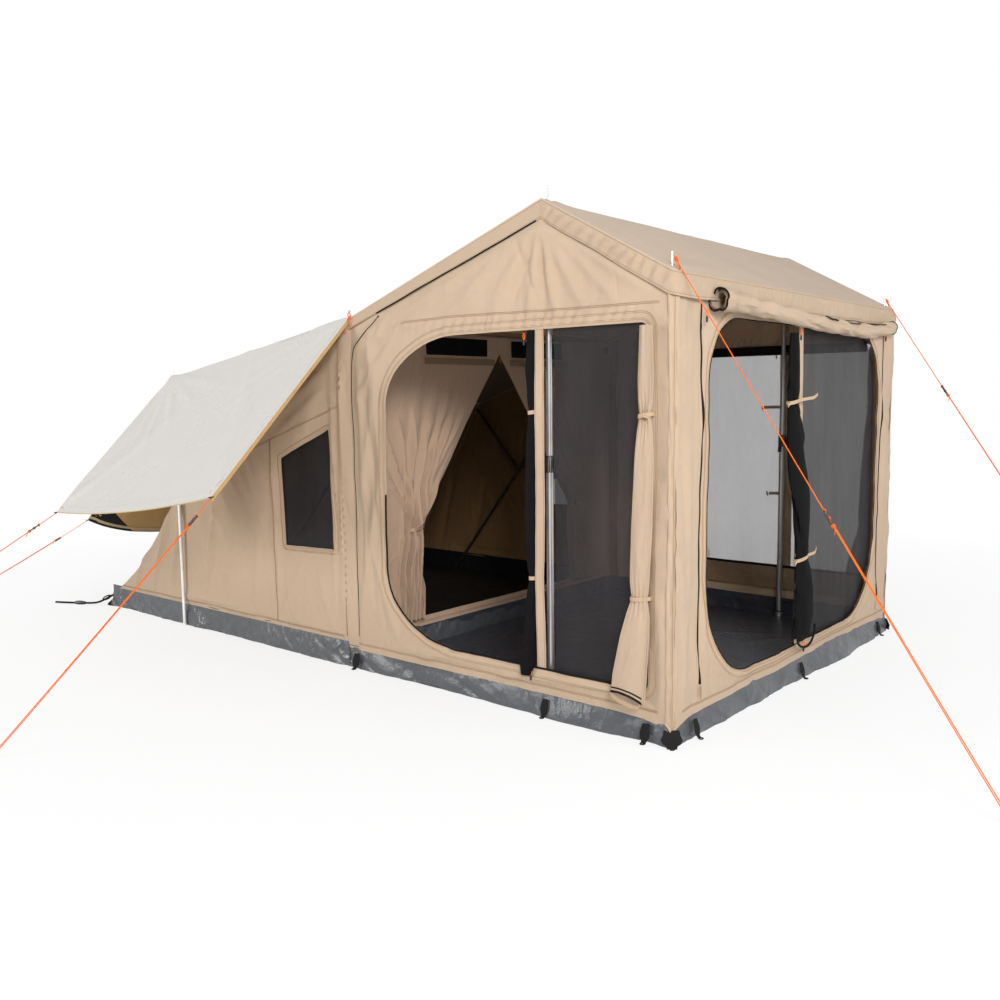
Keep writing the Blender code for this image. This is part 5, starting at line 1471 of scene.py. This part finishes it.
def make_curtains():
    """The doorway's two cloths, drawn aside: slack above the tie, bunched at it and hanging below."""
    heights = spans((1.700, 0.76, 52), (0.75, 0.58, 16), (0.565, 0.165, 22))
    outer, inner = edges_at(CURTAIN, heights)
    bunch = np.exp(-((heights - CURTAIN_TIE_HEIGHT) / 0.15) ** 2)
    share, pleats, tie = np.linspace(0, 1, 97), CURTAIN_PLEATS, CURTAIN_TIE_HEIGHT
    lines = [(0.755, tie + 0.02, 1.02 - 0.098 * k, 1.12 + 0.050 * (k % 4), 0.011 + 0.001 * k, 0.019)
             for k in range(9)]
    lines += [(0.755, tie - 0.03, 0.88 - 0.045 * k, 0.22, 0.010, 0.014) for k in range(4)]
    for side, word in SIDES:
        sheets, grid = Sheets(), []
        for height, far, near, tight in zip(heights, outer + CURTAIN_EDGE, inner, bunch):
            across = far + (near - far) * share ** (1 - 0.35 * tight)
            half_pleat, half_width = CURTAIN_CLOTH / (2 * pleats), (far - near) / (2 * pleats)
            room = math.sqrt(max(0.0, half_pleat ** 2 - half_width ** 2))
            bend = share * pleats * 2 * math.pi + 2.6 * noise(share * 4, height * 1.3, 1.0, 111)
            calm = np.clip((1.60 - height) / 0.55, 0.10, 1)
            gather = np.sin(bend) * room * (0.16 + 0.34 * (height < 0.62) + 0.34 * tight) * calm
            gather *= 1 + 0.6 * noise(share * 5, height * 2, 1.0, 112)
            billow = 0.022 * noise(across, height, (0.17, 0.24), 113)
            billow = billow + 0.008 * noise(across + height, height, (0.07, 0.10), 115)
            rise = gather * np.sin(np.clip(share * pleats, 0, math.pi / 2))
            rise = rise + billow * (1 - tight) * np.sin(share * math.pi) * calm
            depth = 0.014 + 0.010 * (1 - math.exp(-(1.70 - height) / 0.5))
            wing = np.linspace(1.06, far, 13)[:-1]
            lift = np.linspace(0.007, depth, 13)[:-1] + 0.003 * noise(wing, height, (0.10, 0.3), 116)
            x = side * np.concatenate((wing, across))
            y = MAIN_FRONT - np.concatenate((lift, depth + np.clip(rise, -0.022, 0.030)))
            grid.append(np.column_stack((x, y, np.full(len(x), height))))
        grid = np.array(grid)
        span = np.concatenate((np.zeros(len(wing)), share))
        grid[..., 1] -= folds(np.abs(grid[..., 0]), grid[..., 2], lines) * np.clip((1 - span) * 14, 0, 1)
        add_grid(sheets, grid, look=0, thick=THIN_CLOTH)
        tube(sheets, grid[:, -1] + (0, -0.001, 0), 0.0024, 0, 6)
        tube(sheets, grid[-1], 0.0022, 0, 6)
        band_round(sheets, (side * 0.737, MAIN_FRONT - 0.030, tie), 0.062, 0.034, 0.018, 2, slack=0.010)
        toggle(sheets, (side * 0.697, MAIN_FRONT - 0.060, tie + 0.006), (0.3, 0, 1), 3)
        low, high = (-0.61, -0.11) if side < 0 else (0.11, 0.61)
        vent = rounded((low, high, 1.588, 1.684), ((0.008, 0.008),) * 4, 3)
        band = box(low - 0.02, 1.538, high + 0.06, 1.572)
        for outline, look, out in ((vent, 4, 0.0205), (band, 5, 0.0245)):
            panel(sheets, outline, (), inner_place, lambda u, v: out + 0.002 * noise(u, v, 0.1, 114), look,
                  thick=0.0012)
        if side < 0:
            pull_tab(sheets, (0.0, MAIN_FRONT - 0.022, 1.580), 6, 3)
        looks = ["lining", "brown", "tape", "plastic", "packed_net", "olive", "orange"]
        obj = sheets.piece(f"curtain_{word}", looks)
        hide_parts(f"inner_curtain_{word}")
        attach(obj, "root")


def make_flaps():
    """The side doors' canvas, drawn to the front post and tied twice, its zipped hem curling at the foot."""
    heights = spans((1.615, 1.32, 16), (1.31, 1.25, 8), (1.24, 0.62, 34), (0.61, 0.545, 8),
                    (0.53, 0.190, 22))
    starts, stops = edges_at(FLAP, heights)
    phase = np.linspace(0, 1, 73) * 3
    across = 0.5 - 0.5 * np.cos(math.pi * phase)
    for side, word in SIDES:
        sheets, grid = Sheets(), []
        for height, start, stop in zip(heights, starts, stops):
            tight = max(math.exp(-((height - tie) / 0.08) ** 2) for tie in FLAP_TIES)
            slack = 0.0070 * noise(across * 2.2, height * 1.6, 1.0, 133 + side)
            slack += 0.0035 * noise(across * 5 + height * 2, height * 5, 1.0, 134) * (1 - 0.5 * tight)
            slack += 0.0040 * tight * np.sin(across * 4 * 2 * math.pi)
            belly = 0.010 * np.sin(across * math.pi) * (1 - 0.6 * tight)
            layer = 0.040 - (0.030 - 0.010 * tight) * phase / 3 - 0.008 * tight
            x = side * (HALF + 0.012 + layer + (slack + belly) * np.clip(1.6 - 0.5 * phase, 0.3, 1))
            foot = np.clip((0.30 - height) / 0.11, 0, 1)
            drop = foot * (0.024 * (1 - across) - 0.016 * np.sin(across * math.pi))
            grid.append(np.column_stack((x, FRONT + start + (stop - start) * across, height - drop)))
        grid = np.array(grid)
        add_grid(sheets, grid, look=0, thick=0.0018)
        for row, radius in ((-1, 0.0048), (-2, 0.0030)):
            tube(sheets, grid[row, :30] + (side * 0.001, 0, 0), radius, 1, 7)
        tube(sheets, grid[:, 0], 0.0026, 0, 6)
        tube(sheets, grid[:, -1], 0.0024, 0, 6)
        for height, wide, shift in zip(FLAP_TIES, (0.030, 0.044), (0.105, 0.126)):
            centre = (side * (HALF + 0.024), FRONT + shift, height)
            band_round(sheets, centre, wide, 0.0310, 0.016, 2, (0, 1, 0), (1, 0, 0), 0.005)
        at = (side * (HALF + 0.058), FRONT + 0.090, FLAP_TIES[0] - 0.004)
        toggle(sheets, at, (0, 1, 0.25), 2)
        hem = grid[-1]
        strap = [hem[3], hem[6] + (side * 0.004, -0.006, -0.026), hem[12] + (side * 0.004, 0, -0.034),
                 hem[18] + (side * 0.002, 0.004, -0.020), hem[22]]
        flat_band(sheets, smooth_line(strap, 6), 0.014, 2, (1, 0, 0.6))
        obj = sheets.piece(f"flap_{word}", ["canvas", "binding", "tape"])
        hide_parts(f"door_flap_{word}")
        follow_room(obj)


ROLL_POINTS = 22


def rolled(sheets, stations, ways, turns, inner, seed, bumps, edge=None):
    """Cloth rolled up round an axis; stations are (centre, wide, deep), and ways their directions."""
    count = int(turns * ROLL_POINTS)
    angles = np.linspace(0, turns * 2 * math.pi, count + 1)
    share = inner + (1 - inner) * angles / angles[-1]
    centres = smooth_line([s[0] for s in stations], 7)
    places = np.linspace(0, len(stations) - 1, len(centres))
    wides, deeps = (np.interp(places, range(len(stations)), [s[k] for s in stations]) for k in (1, 2))
    across, deep = np.array(ways, float)
    grid = []
    for centre, place, wide, thick in zip(centres, places, wides, deeps):
        lump = 1 + bumps * noise(np.cos(angles) * 1.6 + 5, np.sin(angles) * 1.6 + place * 1.4, 1.0, seed)
        lump = lump + bumps * 0.5 * noise(angles * 1.3, place * 0.8, 1.0, seed + 1)
        radial = (share * np.minimum(lump, 1.02))[:, None]
        grid.append(centre + radial * (np.cos(angles)[:, None] * across * wide
                                       + np.sin(angles)[:, None] * deep * thick))
    grid = np.array(grid)
    sheets.add(grid, flat_of(grid), grid_faces(*grid.shape[:2]))
    if edge is not None:
        tube(sheets, grid[:, -1], 0.0026, edge, 6)
    return grid


def make_rolled_net_left():
    """The net of the left door's open half, rolled up beside the strip in its middle."""
    sheets, x, y = Sheets(), -HALF + 0.002, FRONT + SIDE_MULLION + MULLION_WIDTH / 2 + 0.028
    stations = [((x - out, y + shift, height), wide, wide * 0.85) for height, wide, shift, out in (
        (1.628, 0.018, -0.004, 0), (1.46, 0.024, 0.001, 0), (1.34, 0.020, -0.004, 0),
        (1.29, 0.014, -0.006, 0), (1.24, 0.019, -0.003, 0), (1.10, 0.025, 0.004, 0),
        (0.80, 0.027, 0.006, 0), (0.64, 0.022, 0.001, 0), (0.59, 0.015, -0.004, 0),
        (0.54, 0.024, 0.002, 0), (0.42, 0.029, 0.008, 0.003), (0.26, 0.034, 0.012, 0.008),
        (0.215, 0.036, 0.016, 0.018), (0.172, 0.026, 0.020, 0.024))]
    ways = ((0, 1, 0), (1, 0, 0))
    rolled(sheets, stations, ways, 8, 0.30, 151, 0.20, edge=1)
    for height, shift in ((1.29, -0.006), (0.59, -0.004)):
        band_round(sheets, (x, y + shift, height), 0.018, 0.016, 0.016, 2, *ways, 0.002)
    left = sheets.piece("rolled_net_left", ["packed_net", "binding", "tape"])
    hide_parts("mesh_roll_left")
    follow_room(left)


def make_rolled_net_front():
    """The net of the front door's open half, bundled in front of the strip in its middle."""
    sheets = Sheets()
    stations = [((centre, FRONT - 0.0005 - thick, height), wide, thick) for height, centre, wide, thick in (
        (1.625, -0.160, 0.040, 0.018), (1.46, -0.178, 0.056, 0.022), (1.37, -0.176, 0.056, 0.022),
        (1.32, -0.170, 0.046, 0.018), (1.27, -0.166, 0.060, 0.022), (1.16, -0.148, 0.088, 0.026),
        (1.03, -0.130, 0.100, 0.028), (0.88, -0.098, 0.104, 0.028), (0.70, -0.062, 0.086, 0.026),
        (0.63, -0.050, 0.074, 0.024), (0.59, -0.044, 0.064, 0.021), (0.54, -0.040, 0.078, 0.024),
        (0.44, -0.036, 0.100, 0.028), (0.31, -0.034, 0.108, 0.029), (0.215, -0.044, 0.104, 0.024))]
    rolled(sheets, stations, ((1, 0, 0), (0, 1, 0)), 3, 0.28, 161, 0.34, edge=1)
    for height, centre, wide, end in ((1.32, -0.170, 0.049, 0.190), (0.59, -0.044, 0.067, 0.070)):
        band_round(sheets, (centre, FRONT - 0.020, height), wide, 0.0215, 0.016, 2, slack=0.008)
        for way, steps in (
            (1, ((end * 0.4, -0.016, 0.008), (end * 0.7, -0.016, 0.012), (end, -0.012, 0.026))),
            (-1, ((-0.014, -0.008, -0.004), (-0.030, -0.006, -0.016))),
        ):
            start = np.array((centre + way * wide, FRONT - 0.026, height + way * 0.004))
            line = [start, *(start + step for step in steps)]
            flat_band(sheets, smooth_line(line, 4), 0.014, 2, (0, 0, 1))
    loop = [(-0.150, 0.245), (-0.125, 0.196), (-0.060, 0.170), (0.010, 0.176), (0.055, 0.215),
            (0.060, 0.260)]
    tube(sheets, smooth_line([(x, FRONT - 0.052, z) for x, z in loop], 5), 0.0055, 1, 7)
    front = sheets.piece("rolled_net_front", ["packed_net", "binding", "tape"])
    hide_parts("mesh_roll_front")
    follow_room(front)


def make_rolled_door():
    """The front door's canvas, rolled up over its opening, with the zip along it."""
    sheets = Sheets()
    stations = [((x, FRONT - 0.0005 - wide, height), wide, wide * 1.04) for x, height, wide in (
        (-0.935, 1.716, 0.045), (-0.87, 1.720, 0.047), (-0.79, 1.714, 0.037), (-0.70, 1.718, 0.041),
        (-0.60, 1.708, 0.034), (-0.48, 1.706, 0.039), (-0.34, 1.697, 0.033), (-0.22, 1.694, 0.039),
        (-0.08, 1.684, 0.034), (0.06, 1.682, 0.040), (0.20, 1.671, 0.033), (0.33, 1.670, 0.038),
        (0.47, 1.662, 0.032), (0.62, 1.668, 0.038), (0.78, 1.670, 0.034), (0.93, 1.687, 0.039),
        (1.065, 1.700, 0.034))]
    grid = rolled(sheets, stations, ((0, 1, 0), (0, 0, 1)), 5.6, 0.66, 171, 0.36)
    outer = grid.shape[1] - ROLL_POINTS - 2
    for end in (0, -1):
        tube(sheets, grid[end][outer:], 0.0036, 1, 6)
    zip_line = [(x, FRONT - 0.050 - 0.006 * math.sin(x * 17), height + 0.030 + 0.004 * math.sin(x * 11))
                for x, height in ((0.10, 1.678), (0.33, 1.670), (0.62, 1.668), (0.85, 1.678), (1.05, 1.698))]
    tube(sheets, smooth_line(zip_line, 8), 0.0026, 1, 6)
    door = sheets.piece("rolled_door", ["canvas", "binding"])
    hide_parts("door_roll_front")
    follow_room(door)


# Ground sheets

def tub_walls(sheets, front, back, hem, lean, look, inner_look, swell, seed):
    """Upturned walls of a ground sheet as one creased ring, with the floor between them."""
    step = 0.011
    corners = box(-HALF, front, HALF, back)
    ring = np.array(resampled(corners, step))
    run = np.arange(len(ring)) * step
    middle = np.array((0, (front + back) / 2))
    size = np.array((HALF, (back - front) / 2))
    out = unit(np.where(np.abs((ring - middle) / size) > 1 - 1e-6, np.sign(ring - middle), 0.0))
    near = np.min([np.hypot(*(ring - c).T) for c in np.array(corners)], axis=0)
    corner = np.exp(-(near / 0.22) ** 2)
    heights = hem * np.array([1, 0.92, 0.84, 0.74, 0.64, 0.54, 0.44, 0.34, 0.25, 0.17, 0.10, 0.045, 0.018])
    along = there_and_back(run)
    rows, flats = [], []
    for level, z in enumerate(heights):
        share = 1 - z / hem
        crinkle = 0.010 * noise(run + 0.9 * z, z, (0.19, 0.30), seed)
        crinkle = crinkle + 0.0035 * noise(run - z, z, (0.06, 0.09), seed + 1)
        crinkle = crinkle + (0.0012 + 0.004 * corner) * noise(run + 2 * z, z, (0.028, 0.040), seed + 5)
        ridge = np.abs(noise(run + 1.8 * z, z, (0.13, 0.16), seed + 6))
        crinkle = crinkle - (0.005 + 0.004 * corner) * (1 - ridge) ** 6
        amount = 0.016 * math.sin(min(1.0, share * 1.1) * math.pi / 2) + crinkle * min(1.0, share * 3)
        amount = np.maximum(amount + swell(ring) * share ** 0.6, 0.001 * share)[:, None]
        at = ring + out * (amount - 0.002)
        at[:, 1] -= np.where(ring[:, 1] > back - 1e-6, lean * (z / hem), 0)
        rows.append(np.column_stack((at, z + 0.004 * noise(run, 3.0, 0.4, seed + 2) * (level < 2))))
        flats.append(np.column_stack((along, np.full(len(run), hem - z))))
    rows.append(np.column_stack((ring - out * 0.014, np.full(len(ring), 0.0012))))
    flats.append(np.column_stack((along, np.full(len(run), hem + 0.03))))
    points, flat = np.array(rows), np.array(flats)
    inward = np.column_stack((out, np.zeros(len(out))))
    inner = points - inward * CLOTH
    faces = [face[::-1] for face in grid_faces(len(rows), len(ring), ring=True)]
    sheets.layered(points.reshape(-1, 3), inner.reshape(-1, 3), flat.reshape(-1, 2), faces, look, inner_look)
    xs, ys = spaced_at(-HALF - 0.004, HALF + 0.004), spaced_at(front - 0.004, back + 0.004)
    x, y = np.meshgrid(xs, ys)
    z = 0.0030 + 0.0028 * (1 + noise(x, y, (0.35, 0.22), seed + 3))
    z = z + 0.0012 * (1 + noise(x, y, 0.09, seed + 4))
    creases = []
    for k in range(16):
        x0, y0 = HALF * (2 * (k * 0.618 % 1) - 1), front + (back - front) * (k * 0.382 % 1)
        creases.append((x0, y0, x0 + 0.75 * math.cos(k * 1.9), y0 + 0.75 * math.sin(k * 1.9), 0.022, 0.0055))
    z += folds(x, y, creases)
    z *= 0.35 + 0.65 * fade(x, -HALF, HALF, 0.05) * fade(y, front, back, 0.05)
    add_grid(sheets, np.stack((x, y, z + 0.0012), axis=2), look=inner_look, up=(0, 0, 1), thick=0.0012)
    edge = rows[0] + inward * 0.0006
    tube(sheets, np.vstack((edge, edge[:1])), 0.0030, look, 6)


def peg_loops(sheets, spots, look):
    """Wedge-shaped webbing on the walls down to the ground, each with its loop for a peg."""
    for x, y, away_x, away_y, top, wide in spots:
        away = unit(np.array((away_x, away_y, 0.0)))
        side = np.array((-away[1], away[0], 0.0))
        root = np.array((x, y, 0.0)) + away * 0.019
        levels = ((top, -0.002, 0.72), (top * 0.75, 0.006, 0.80), (top * 0.5, 0.010, 1.0),
                  (top * 0.28, 0.012, 0.80), (0.014, 0.015, 0.52), (0.005, 0.022, 0.46))
        grid = np.array([
            [root + away * out + side * s * wide * share / 2 + (0, 0, z) for s in (-1, -0.3, 0.3, 1)]
            for z, out, share in levels
        ])
        add_grid(sheets, grid, look=look, thick=0.0022, up=tuple(away))
        end = root + away * 0.026 + (0, 0, 0.006)
        tube(sheets, circle(end, away * 0.008, side * 0.009), 0.0024, look, 6)


def make_floors():
    """Both ground sheets with their peg loops, and the straps at the main tent's rear corners."""
    def room_swell(ring):
        near = np.exp(-((ring[:, 0] - 0.55) / 0.42) ** 2) * (ring[:, 1] < FRONT + 1e-6)
        slack = np.exp(-((ring[:, 1] - FRONT - 0.45) / 0.25) ** 2) * (np.abs(ring[:, 0]) > HALF - 1e-6)
        return 0.030 * near + 0.012 * slack

    loops = 2
    sheets = Sheets()
    tub_walls(sheets, FRONT, MAIN_FRONT - 0.002, ROOM_HEM, 0.0, 0, 1, room_swell, 201)
    sides = [(s * HALF, FRONT + y, s, 0, 0.080, wide)
             for s in (-1, 1) for y, wide in ((0.105, 0.046), (0.60, 0.040), (1.794, 0.050))]
    ends = [(x, FRONT, 0, -1, 0.080, 0.040) for x in (-1.04, -0.011, 1.04)]
    corners = [(s * (HALF - 0.010), FRONT + 0.010, s, -0.75, 0.072, 0.085) for s in (-1, 1)]
    peg_loops(sheets, sides + ends + corners, loops)
    room = sheets.piece("room_ground_sheet", ["ground_sheet", "floor_inside", "webbing"])
    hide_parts("room_floor")
    follow_root(room)
    sheets = Sheets()
    tub_walls(sheets, MAIN_FRONT, REAR, MAIN_HEM, REAR_HEM_SLOPE, 0, 1, lambda ring: 0.0 * ring[:, 0], 221)
    ends = [(x, REAR, 0, 1, 0.060, 0.046) for x in (-0.6, 0.0, 0.6)]
    peg_loops(sheets, ends, loops)
    for s in (-1, 1):
        strap = [(s * x, REAR + y, z) for x, y, z in (
            (1.165, -0.045, 0.085), (1.195, 0.010, 0.060), (1.225, 0.060, 0.030), (1.262, 0.110, 0.010),
            (1.330, 0.220, 0.007), (1.405, 0.370, 0.006))]
        flat_band(sheets, smooth_line(strap, 6), 0.030, loops, (s * 0.80, -0.60, 0.2))
        tube(sheets, smooth_line([(x, y, z + 0.004) for x, y, z in strap], 6), 0.0065, loops, 8)
        slider = [(s * (1.300 + 0.012 * k), REAR + 0.170 + 0.022 * k, 0.012) for k in range(4)]
        tube(sheets, slider, 0.014, 3, 8, (0.7, 1.0, 1.0, 0.7))
        centre = np.array((s * 1.213, REAR + 0.040, 0.050))
        tube(sheets, circle(centre, np.array((s * 0.024, 0, 0)), np.array((0, 0.024, -0.018))), 0.0045, 3, 7)
        tail = [(s * x, REAR + y, z)
                for x, y, z in ((1.170, -0.040, 0.070), (1.215, 0.005, 0.014), (1.225, -0.040, 0.008))]
        flat_band(sheets, smooth_line(tail, 5), 0.026, loops, (0.5 * s, 0.8, 0))
    main = sheets.piece("main_ground_sheet", ["ground_sheet", "floor_dark_painted_shade", "webbing", "plastic"])
    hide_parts("main_floor")
    follow_fold(main)


# Fly sheet

def fly_wrinkle(points, ends, seed):
    """Wrinkles over the fly sheet: soft waves, and rays that run from where ropes and poles pull it."""
    x, y = points[..., 0], points[..., 1]
    total = 0.0040 * noise(x, y, (0.40, 0.24), seed) + 0.0020 * noise(x + y, y - x, (0.10, 0.26), seed + 1)
    lines = [(*start[:2], x1, y1, wide, high * 0.7)
             for start, targets in ends for x1, y1, wide, high in targets]
    return total + folds(x, y, lines)


def add_fly_grid(sheets, grid, wrinkle):
    """Add a part of the fly sheet, and give back its top side."""
    add_grid(sheets, grid, wrinkle, look=OUTSIDE, back=INSIDE, up=(0, 0, 1), thick=THIN_CLOTH)
    normal = normals_of(grid)
    normal *= np.sign(normal[..., 2:3])
    return grid + normal * wrinkle[..., None]


def make_fly():
    """The fly sheet with its two wings and its tail, their bindings, patches, eyes and cords."""
    sheets = Sheets()
    across, along = spaced_at(-2, -1, 1, 2, step=0.02), spaced_at(0, 1, step=0.0125)
    grid = np.array([[fly_point(u, v) for u in across] for v in along])
    ends = []
    for s in (-1, 1):
        wing_front, wing_rear, pole = fly_point(s * 2, 0), fly_point(s * 2, 1), fly_point(s, 1)
        ends += [
            (wing_front, [(s * (1.62 - 0.10 * k), FRONT + 2.02 + 0.13 * k, 0.020, 0.011 - 0.001 * k)
                          for k in range(5)]),
            (wing_rear, [(s * (1.60 - 0.13 * k), FRONT + 3.10 - 0.15 * k, 0.020, 0.011 - 0.001 * k)
                         for k in range(5)]),
            (pole, [(s * (1.75 - 0.10 * k), FRONT + 3.02 - 0.08 * k, 0.020, 0.010) for k in range(5)]),
            ((s * 1.19, FRONT + FLY_FRONT),
             [(s * (1.55 - 0.13 * k), FRONT + 2.45, 0.020, 0.008) for k in range(4)]),
            (wing_rear, [(pole.x, pole.y, 0.024, 0.016)]),
        ]
    edge = np.minimum.outer(np.minimum(along, 1 - along + 0.3) * 12, (2 - np.abs(across)) * 12)
    top = add_fly_grid(sheets, grid, fly_wrinkle(grid, ends, 301) * np.clip(edge, 0.15, 1))
    spread, down = spaced_at(-1, 1, step=0.02), spaced_at(0, 1, step=0.0125)
    tail = np.array([[tail_point(u, v) for u in spread] for v in down])
    ends = []
    for s in (-1, 1):
        ends += [
            (tail_point(s, 1), [(s * (0.90 - 0.13 * k), FRONT + 4.15 - 0.15 * k, 0.022, 0.014 - 0.001 * k)
                                for k in range(5)]),
            (tail_point(s, 0), [(s * (0.98 - 0.20 * k), FRONT + 3.85 - 0.04 * k, 0.022, 0.011)
                                for k in range(5)]),
        ]
    soft = np.clip(np.minimum.outer(down * 10 + 0.2, (1 - np.abs(spread)) * 12), 0.15, 1)
    tail_top = add_fly_grid(sheets, tail, fly_wrinkle(tail, ends, 311) * soft)
    for line in (top[0], top[:, 0], top[:, -1], tail_top[:, 0], tail_top[:, -1]):
        tube(sheets, line - (0, 0, 0.0022), 0.0030, 2, 6)
    tube(sheets, tail_top[-1] - (0, 0, 0.001), 0.0040, 4, 6)
    for line, inner in ((top[0], top[2]), (top[:, 0], top[:, 2]), (top[:, -1], top[:, -3]),
                        (tail_top[-1], tail_top[-3])):
        flat_band(sheets, inner - (0, 0, 0.0036), 0.030, 2, unit(np.mean(inner - line, axis=0)))
    flat_band(sheets, top[0] - (0, 0, 0.0125), 0.022, 1, (0, 0, 1))
    for line in (top[2], top[:, 2], top[:, -3]):
        tube(sheets, line + (0, 0, 0.0004), 0.0008, 0, 5)
    for s, last in ((-1, 0), (1, -1)):
        for corner, back, up in ((top[0, last], 0.022, 0.010), (top[-1, last], -0.020, 0.010),
                                 (tail_top[-1, last], -0.020, 0.016)):
            eye = corner + np.array((-s * 0.026, back, up))
            tube(sheets, circle(eye, np.array((0.008, 0, 0)), np.array((0, 0.008, 0))), 0.0022, 3, 6)
            loop = [corner + (s * (0.005 * k - 0.006), 0, -0.0012 * k) for k in range(5)]
            flat_band(sheets, loop, 0.020, 4, (0, 1, 0))
        reach = 16
        patch = np.array([
            [tail_top[-1 - r, (c if s < 0 else len(spread) - 1 - c)] for c in range(reach - r)]
            + [tail_top[-1 - r, (reach - 1 - r if s < 0 else len(spread) - reach + r)]] * r
            for r in range(reach - 1)
        ])
        add_grid(sheets, patch - (0, 0, 0.0036), look=4, thick=0.0012)
        hook = np.array(fly_point(s, 0)) + (s * 0.010, -0.008, 0.004)
        tube(sheets, circle(hook, np.array((s * 0.004, 0, 0.012)), np.array((0, 0.010, 0))), 0.0022, 5, 7)
        tube(sheets, [hook + (0, 0, 0.014 + 0.004 * k) for k in range(4)], 0.0060, 3, 8, (0.7, 1, 1, 0.7))
        for way, drop in ((-1, 0.050), (1, 0.085)):
            line = [hook, hook + (s * 0.010, way * 0.012, -drop * 0.4),
                    hook + (s * 0.006, way * 0.020 + 0.01, -drop)]
            cord_line(sheets, line, 0.0030, 5)
    obj = sheets.piece("fly_sheet_cloth", ["fly_top", "fly_under", "fly_hem", "peg", "webbing", "orange"])
    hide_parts("fly_sheet")
    follow_root(obj)


# Metal and plastic parts: the model's own solids with finer materials, and their small fittings

def dress_solids():
    """Every solid of the model that shows keeps its shape and gets the material of its slot."""
    slot_look = {"frame_tube": "dark_tube", "silver_tube": "silver_tube", "black_plastic": "plastic",
                 "rope": "rope"}
    for name, obj in NODES.items():
        if obj.hide_render:
            continue
        look = "ridge_tube" if name.startswith("ridge_pole") else slot_look.get(slot_of(name), "plastic")
        obj.data.materials.clear()
        obj.data.materials.append(LOOKS[look])


def slot_of(name):
    for part in frame["record"]["subparts"]:
        if part["node"] == name:
            return part["material_slot"]
    return "black_plastic"


def make_sleeves():
    """The black clamp sleeve half-way up each ridge pole, with its lever, and the pole's foot."""
    for side, word in SIDES:
        sheets, x = Sheets(), side * POLE_X
        sleeve = [(x, RIDGE, z) for z in (1.040, 1.045, 1.075, 1.105, 1.110)]
        lever = [(x, RIDGE - 0.020, 1.058), (x, RIDGE - 0.032, 1.066), (x, RIDGE - 0.035, 1.100)]
        foot = [(x, RIDGE, z) for z in (0.014, 0.018, 0.036, 0.040)]
        tube(sheets, sleeve, 0.02215, 0, 20, (0.9, 1, 1, 1, 0.9))
        tube(sheets, lever, 0.0060, 0, 8)
        tube(sheets, foot, 0.0210, 0, 20, (0.9, 1, 1, 0.9))
        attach(sheets.piece(f"pole_sleeve_{word}", ["plastic"]), "root")


def far_wall_inside(sheets):
    """Inside of the right wall: base band, black edges, and the zip's flap with its ties."""
    inside = side_place(1, -0.016)
    for low, bottom, high, top, look in (
        (0.13, 0.170, 1.56, 0.300, BASE_BAND), (0.13, 0.300, 1.56, 0.316, BINDING),
        (0.13, 1.585, 1.56, 1.640, BINDING), (0.552, 0.30, 0.600, 1.60, BASE_BAND),
    ):
        panel(sheets, box(low, bottom, high, top), (), inside,
              lambda u, v: -0.005 + 0.006 * noise(u, v, (0.16, 0.06), 121), look, step=0.025, thick=-0.0014)
    for height, reach in ((1.27, 0.090), (0.75, 0.050)):
        line = [(HALF - 0.022, FRONT + 0.600, height), (HALF - 0.034, FRONT + 0.640, height + 0.006),
                (HALF - 0.040, FRONT + 0.640 + reach, height + 0.004)]
        flat_band(sheets, smooth_line(line, 5), 0.018, BASE_BAND, (0, 0, 1))
        toggle(sheets, (HALF - 0.042, FRONT + 0.650 + reach, height + 0.004), (0, 0.2, 1), BINDING)


make_camera()
make_studio()
make_ropes()
for side, word in SIDES:
    make_side_panel(side, word)
make_front_panel()
make_room_nets()
make_awning_roof()
make_main_walls()
make_main_roof()
make_inner_wall()
make_curtains()
make_flaps()
make_rolled_net_left()
make_rolled_net_front()
make_rolled_door()
make_floors()
make_fly()
make_sleeves()
dress_solids()
